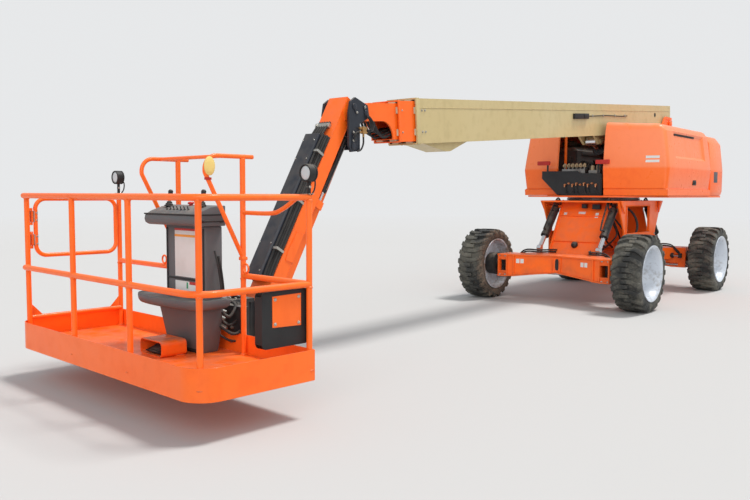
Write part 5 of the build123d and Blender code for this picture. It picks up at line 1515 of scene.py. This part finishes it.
def makeConsole():
    front, low, high, bottom, top = console["column"]
    back, head = console["back"], console["head"]
    form, trim, controls, stop, holes = (Form() for _ in range(5))
    form.block((back, low, bottom), (front, high, top), bevel=0.014)
    form.plate(console["headSide"], *head, bevel=0.007)
    form.loft([trayRing(*level) for level in console["trayLevels"]])
    form.loft([((near, right, z), (far, right, z), (far, left, z), (near, left, z))
               for z, near, far, right, left in console["foot"]])
    form.place("consoleBody", "platform", "console_grey", bevel=0.005, replaces="control_console")

    # Lid lip, frame of the panel, side grips and a seam under the tray
    trim.block((back + 0.004, head[0] - 0.006, 1.262), (0.612, head[1] + 0.006, 1.272), bevel=0.003)
    for y in (low + 0.022, high - 0.022):
        trim.block((front - 0.002, y - 0.008, 0.705), (front + 0.006, y + 0.008, 1.17), bevel=0.003)
    trim.block((front - 0.002, low + 0.02, 0.806), (front + 0.006, high - 0.02, 0.818), bevel=0.002)
    for y in head:
        out = y + signOf(y) * 0.035
        trim.tube([(0.4, y, 1.22), (0.4, out, 1.225), (0.54, out, 1.225), (0.54, y, 1.22)], 0.008)
    trim.block((0.4, low + 0.03, 0.614), (0.552, high - 0.03, 0.622), bevel=0.002)
    trim.place("consoleTrim", "platform", "black_plastic")

    joystick = ((0, 0.034), (0.008, 0.034), (0.012, 0.026), (0.02, 0.027), (0.026, 0.019), (0.034, 0.02),
                (0.04, 0.01), (0.085, 0.007), (0.09, 0.016), (0.112, 0.018), (0.122, 0.011), (0.124, 0))
    toggle = ((0, 0.009), (0.006, 0.009), (0.007, 0.004), (0.024, 0.003), (0.028, 0.004), (0.029, 0))
    button = ((0, 0.014), (0.014, 0.014), (0.015, 0.022), (0.024, 0.023), (0.03, 0.017), (0.031, 0))
    for y in (-0.16, 0.26):
        controls.lathe(joystick, (0.47, y, 1.316), (-0.14, 0, 1), 24)
    for index in range(7):
        controls.lathe(toggle, (0.53, -0.085 + index * 0.045, 1.296), (0.3, 0, 1), 14)
    controls.place("consoleLevers", "platform", "black_plastic")
    stop.lathe(button, (0.42, 0.05, 1.322), (0.1, 0, 1), 28)
    stop.place("stopButton", "platform", "red_plate")

    # Plates on the front, bare apart from their bands
    for name, finish, right, left, low, high in (
        ("panelPlate", "white_plate", -0.046, 0.288, 0.826, 1.152),
        ("panelHeader", "red_plate", -0.046, 0.288, 1.152, 1.167),
        ("panelBand", "amber_plate", -0.046, 0.288, 1.107, 1.124),
        ("lowerPlate", "white_plate", -0.046, 0.262, 0.722, 0.796),
        ("lowerPlateRed", "red_plate", 0.135, 0.262, 0.776, 0.796),
        ("lowerPlateGreen", "green_plate", 0.098, 0.118, 0.746, 0.79),
    ):
        lift = 0.0032 if finish == "white_plate" else 0.004
        plate = Form().block((front - 0.001, right, low), (front + lift, left, high), bevel=0.001)
        plate.place(name, "platform", finish)

    vent = ((0, 0.03), (0.004, 0.03), (0.005, 0.022), (0.001, 0.02), (0.001, 0))
    for y in (-0.035, 0.125):
        holes.lathe(vent, (0.513, y, 0.372), (1, 0, -0.15), 24)
    holes.block((0.5, -0.1, 0.309), (0.512, 0.26, 0.335), bevel=0.003)
    holes.place("consoleVents", "platform", "black_plastic")


def makeConsoleHoses():
    hoses, fittings, carrier = Form(), Form(), Form()
    for radius, *route in (
        (0.009, (0.4, 0.345, 0.98), (0.4, 0.372, 0.9), (0.385, 0.375, 0.78), (0.375, 0.365, 0.705)),
        (0.007, (0.43, 0.345, 1.02), (0.43, 0.38, 0.93), (0.415, 0.392, 0.8), (0.4, 0.38, 0.705)),
        (0.011, (0.36, 0.3, 0.6), (0.34, 0.38, 0.56), (0.27, 0.36, 0.62), (0.21, 0.26, 0.63),
         (0.17, 0.16, 0.628)),
        (0.009, (0.36, 0.26, 0.56), (0.33, 0.36, 0.5), (0.25, 0.36, 0.54), (0.19, 0.28, 0.62),
         (0.15, 0.18, 0.625)),
        (0.011, (0.37, 0.28, 0.5), (0.32, 0.4, 0.44), (0.24, 0.4, 0.48), (0.19, 0.36, 0.58),
         (0.16, 0.24, 0.622)),
        (0.008, (0.37, 0.2, 0.46), (0.31, 0.34, 0.385), (0.24, 0.37, 0.4), (0.19, 0.34, 0.52),
         (0.17, 0.3, 0.6)),
    ):
        hoses.tube(route, radius, 10, 8)
    hoses.place("consoleHoses", "platform", "hose_rubber")
    for start, end in (
        ((0.355, 0.3, 0.6), (0.34, 0.345, 0.585)), ((0.355, 0.26, 0.56), (0.338, 0.325, 0.535)),
        ((0.36, 0.28, 0.5), (0.338, 0.345, 0.475)), ((0.36, 0.2, 0.46), (0.338, 0.265, 0.43)),
    ):
        fittings.bar(start, end, 0.014, 6)
    x, y = 0.245, 0.33
    for z in (0.47, 0.42, 0.37):
        fittings.block((x - 0.02, y - 0.03, z - 0.014), (x + 0.02, y + 0.03, z + 0.014), bevel=0.004)
        fittings.bar((x, y + 0.03, z), (x, y + 0.055, z), 0.011, 6)
        fittings.bar((x + 0.02, y, z), (x + 0.045, y, z + 0.004), 0.01, 6)
    fittings.place("consoleFittings", "platform", "zinc_bolt")
    carrier.block((0.215, 0.295, 0.345), (0.226, 0.365, 0.598), bevel=0.003)
    for z in (0.395, 0.445, 0.495):
        carrier.bolt((0.226, 0.312, z), alongX, 0.006)
    carrier.place("valveCarrier", "platform", "black_paint")


def roundedBox(x, left, right, bottom, top, radius, axis="x", steps=6):
    # Outline in the two other axes with round corners, as points at this place on the axis
    points = []
    for a, b, first in (
        (right - radius, top - radius, 0), (left + radius, top - radius, 90),
        (left + radius, bottom + radius, 180), (right - radius, bottom + radius, 270),
    ):
        for index in range(steps + 1):
            turn = radians(first + 90 * index / steps)
            points.append((a + radius * cos(turn), b + radius * sin(turn)))
    return [(x, a, b) for a, b in points] if axis == "x" else points


def makeFootSwitch():
    # A rounded guard, open at the front, over a pedal
    guard, pedal = Form(), Form()
    shell = ((0.574, -0.012), (0.58, 0), (0.772, 0), (0.774, -0.002))
    rings = [roundedBox(x, -0.06 - grow, 0.22 + grow, 0.3076, 0.417 + grow, 0.03) for x, grow in shell]
    rings += [roundedBox(x, -0.052, 0.212, 0.3156, 0.409, 0.024) for x in (0.773, 0.6)]
    guard.loft(rings)
    for y in (-0.045, 0.205):
        guard.block((0.6, y - 0.028, 0.3075), (0.66, y + 0.028, 0.313), bevel=0.002)
    guard.place("footGuard", "platform", "orange_paint", replaces="foot_switch")
    outline = ((0.612, 0.33), (0.752, 0.324), (0.756, 0.334), (0.7, 0.352), (0.62, 0.382), (0.612, 0.372))
    pedal.plate(outline, -0.02, 0.18, bevel=0.004)
    for index in range(7):
        x, low, high = 0.64 + index * 0.016, 0.35 - index * 0.0015, 0.378 - index * 0.0062
        pedal.block((x, -0.012, low), (x + 0.006, 0.172, high), bevel=0.001)
    pedal.place("footPedal", "platform", "black_plastic")


def makeSideCover():
    cover, plate, bolts = Form(), Form(), Form()
    cover.plate(roundedBox(0, 0.2835, 0.6535, 0.4795, 0.8255, 0.028, "y"), 1.0815, 1.1512, bevel=0.006)
    cover.block((0.299, 1.08, 0.6), (0.301, 1.152, 0.61))
    cover.place("coverBox", "platform", "black_plastic", replaces="side_cover")
    plate.plate(((0.352, 0.598), (0.577, 0.606), (0.577, 0.796), (0.352, 0.8)), 1.1505, 1.1548, bevel=0.0015)
    plate.place("coverPlate", "platform", "orange_paint")
    for x, z in ((0.372, 0.618), (0.557, 0.626), (0.557, 0.776), (0.372, 0.78)):
        bolts.bolt((x, 1.1548, z), alongY, 0.008)
    bolts.place("coverBolts", "platform", "zinc_bolt")


def makeRailTrim():
    extra, straps, tag = Form(), Form(), Form()
    back, right = deck["back"], deck["right"]
    # Bent grab rail under the top rail at the back
    grab = ((0.49, 1.282), (0.8, 1.284), (0.92, 1.316), (1.03, 1.372), (1.055, 1.388))
    extra.tube([(back, y, z) for y, z in grab], 0.015, 14, 8)
    # Sill over the toe board at the entrance, with its two gussets
    extra.bar((back + 0.01, right + 0.014, 0.458), (1.062, right + 0.03, 0.458), 0.017)
    for x, reach in ((1.045, -0.085), (0.322, 0.085)):
        extra.plate(((x, 0.47), (x + reach, 0.47), (x, 0.56)), right + 0.015, right + 0.021, bevel=0.001)
    # Rings for a lanyard
    turns = around(22)
    for y in (0.535, -0.5):
        loop = [(back + 0.012, y + 0.03 * a, 0.905 + 0.03 * b) for a, b in turns + turns[:1]]
        extra.tube(loop, 0.007, 10, 1)
        extra.block((back - 0.004, y - 0.01, 0.86), (back + 0.018, y + 0.01, 0.877), bevel=0.003)
    # Weld collars where the posts meet floor and rails
    footWeld = ((0, 0.03), (0.004, 0.029), (0.009, 0.022), (0.012, 0.0192), (0.012, 0.01))
    railWeld = ((-0.029, 0.0188), (-0.024, 0.0215), (-0.017, 0.0235), (-0.012, 0.018))
    posts = [(1.071, 1.128), (1.071, -1.178), (deck["front"], -0.33), (deck["front"], 0.43)]
    for x, y in posts + [(back, y) for y in (deck["left"], right, *deck["hoops"])]:
        extra.lathe(footWeld, (x, y, deck["floor"]), alongZ, 20)
        for z in (deck["midRail"], deck["topRail"]):
            extra.lathe(railWeld, (x, y, z), alongZ, 20)
    # End caps of the hoops, and the straps that hold them to the rails
    endCap = ((-0.001, 0.0145), (0.0015, 0.0135), (0.003, 0.009), (0.0032, 0))
    for y in deck["hoops"]:
        extra.lathe(endCap, (0.2142, y, 1.66), (-1, 0, 0), 18)
        for z in (0.97, 1.39):
            middle, half = Vector((back, y, z)), Vector((0.023, 0.021, 0.012))
            straps.block(middle - half, middle + half, bevel=0.005)
    extra.place("railTrim", "platform", "orange_paint")
    straps.place("postStraps", "platform", "orange_paint")
    # Bare yellow tag on its clamp
    tag.loft([[(0.578 + 0.041 * size * a, 0.508 + place, 1.59 + 0.062 * size * b) for a, b in around(36)]
              for place, size in ((0, 0.94), (0.003, 1.0), (0.009, 1.0), (0.013, 0.88), (0.014, 0.4))])
    tag.place("yellowTag", "platform", "pale_yellow")
    clamp = Form().block((0.56, 0.484, 1.5), (0.6, 0.512, 1.516), bevel=0.003)
    clamp.place("tagClamp", "platform", "red_plate")


def makeLamps():
    body, glass, metal = Form(), Form(), Form()
    back = deck["back"]
    shell = ((-0.0349, 0.03), (-0.034, 0.036), (-0.026, 0.041), (-0.018, 0.048), (-0.012, 0.0555),
             (0.024, 0.0558), (0.03, 0.0556), (0.0345, 0.053), (0.0349, 0.047), (0.028, 0.045), (0.028, 0))
    lens = ((0.0275, 0.044), (0.031, 0.04), (0.033, 0.028), (0.034, 0))
    for y in (deck["right"], deck["left"]):
        center = (back, y, 1.54)
        body.lathe(shell, center, alongX, 44)
        for place in (-0.024, -0.018, -0.006, 0.004, 0.014):
            fin = ((-0.0022, 0.046), (-0.002, 0.0552), (0.002, 0.0552), (0.0022, 0.046))
            body.lathe([(place + along, radius) for along, radius in fin], center, alongX, 44)
        body.block((back - 0.009, y - 0.009, 1.4105), (back + 0.009, y + 0.009, 1.492), bevel=0.003)
        cable = ((0.03, 1.52), (0.05, 1.49), (0.045, 1.44), (0.02, 1.405))
        body.tube([(back - behind, y, z) for behind, z in cable], 0.005)
        glass.lathe(lens, center, alongX, 36)
        for side in sides[::-1]:
            metal.bolt((back, y + side * 0.009, 1.455), (0, side, 0), 0.007)
        metal.block((back - 0.024, y - 0.024, 1.4085), (back + 0.024, y + 0.024, 1.4125), bevel=0.002)
    body.place("lampBodies", "platform", "black_plastic", replaces="work_lamps")
    glass.place("lampGlasses", "platform", "lamp_glass")
    metal.place("lampMounts", "platform", "zinc_bolt")


def makeGateHinges():
    # Grey hinge leaves: one on the post, one on the gate
    fixed, moving = Form(), Form()
    for z in (1.01, 1.19):
        fixed.block((1.034, -1.217, z - 0.022), (1.074, -1.201, z + 0.102), bevel=0.003)
        moving.block((0.984, -1.213, z - 0.004), (1.016, -1.1884, z + 0.084), bevel=0.003)
        for height in (z + 0.012, z + 0.068):
            fixed.bolt((1.056, -1.201, height), alongY, 0.006)
            moving.bolt((0.995, -1.1884, height), alongY, 0.006)
    fixed.place("hingeLeavesFixed", "platform", "zinc_bolt")
    moving.place("hingeLeavesMoving", "gate", "zinc_bolt")


def makeCarrierTrim():
    # Bolts and ribs of the platform's carrier, bolts and cap of the rotator
    dark, bolts = Form(), Form()
    for y in (-0.36, -0.24, 0.24, 0.36):
        for z in (0.345, 0.565):
            bolts.bolt((0.2145, y, z), (-1, 0, 0), 0.011)
    for a, b in around(8):
        bolts.bolt((0.062 * a, 0.062 * b, 0.625), alongZ, 0.009)
    dark.lathe(((0, 0.044), (0.018, 0.044), (0.026, 0.036), (0.028, 0)), (0, 0, 0.625), alongZ, 28)
    rib = ((0.212, 0.3), (0.212, 0.592), (0.19, 0.56), (0.19, 0.34))
    for y in (-0.3, -0.15, 0.15, 0.3):
        dark.plate(rib, y - 0.005, y + 0.005, bevel=0.001)
    dark.place("carrierRibs", "platform", "black_paint")
    bolts.place("carrierBolts", "platform", "zinc_bolt")


for make in (makeConsole, makeConsoleHoses, makeFootSwitch, makeSideCover, makeRailTrim, makeLamps,
             makeGateHinges, makeCarrierTrim):
    make()
print("platform dressed")

print("pieces done")
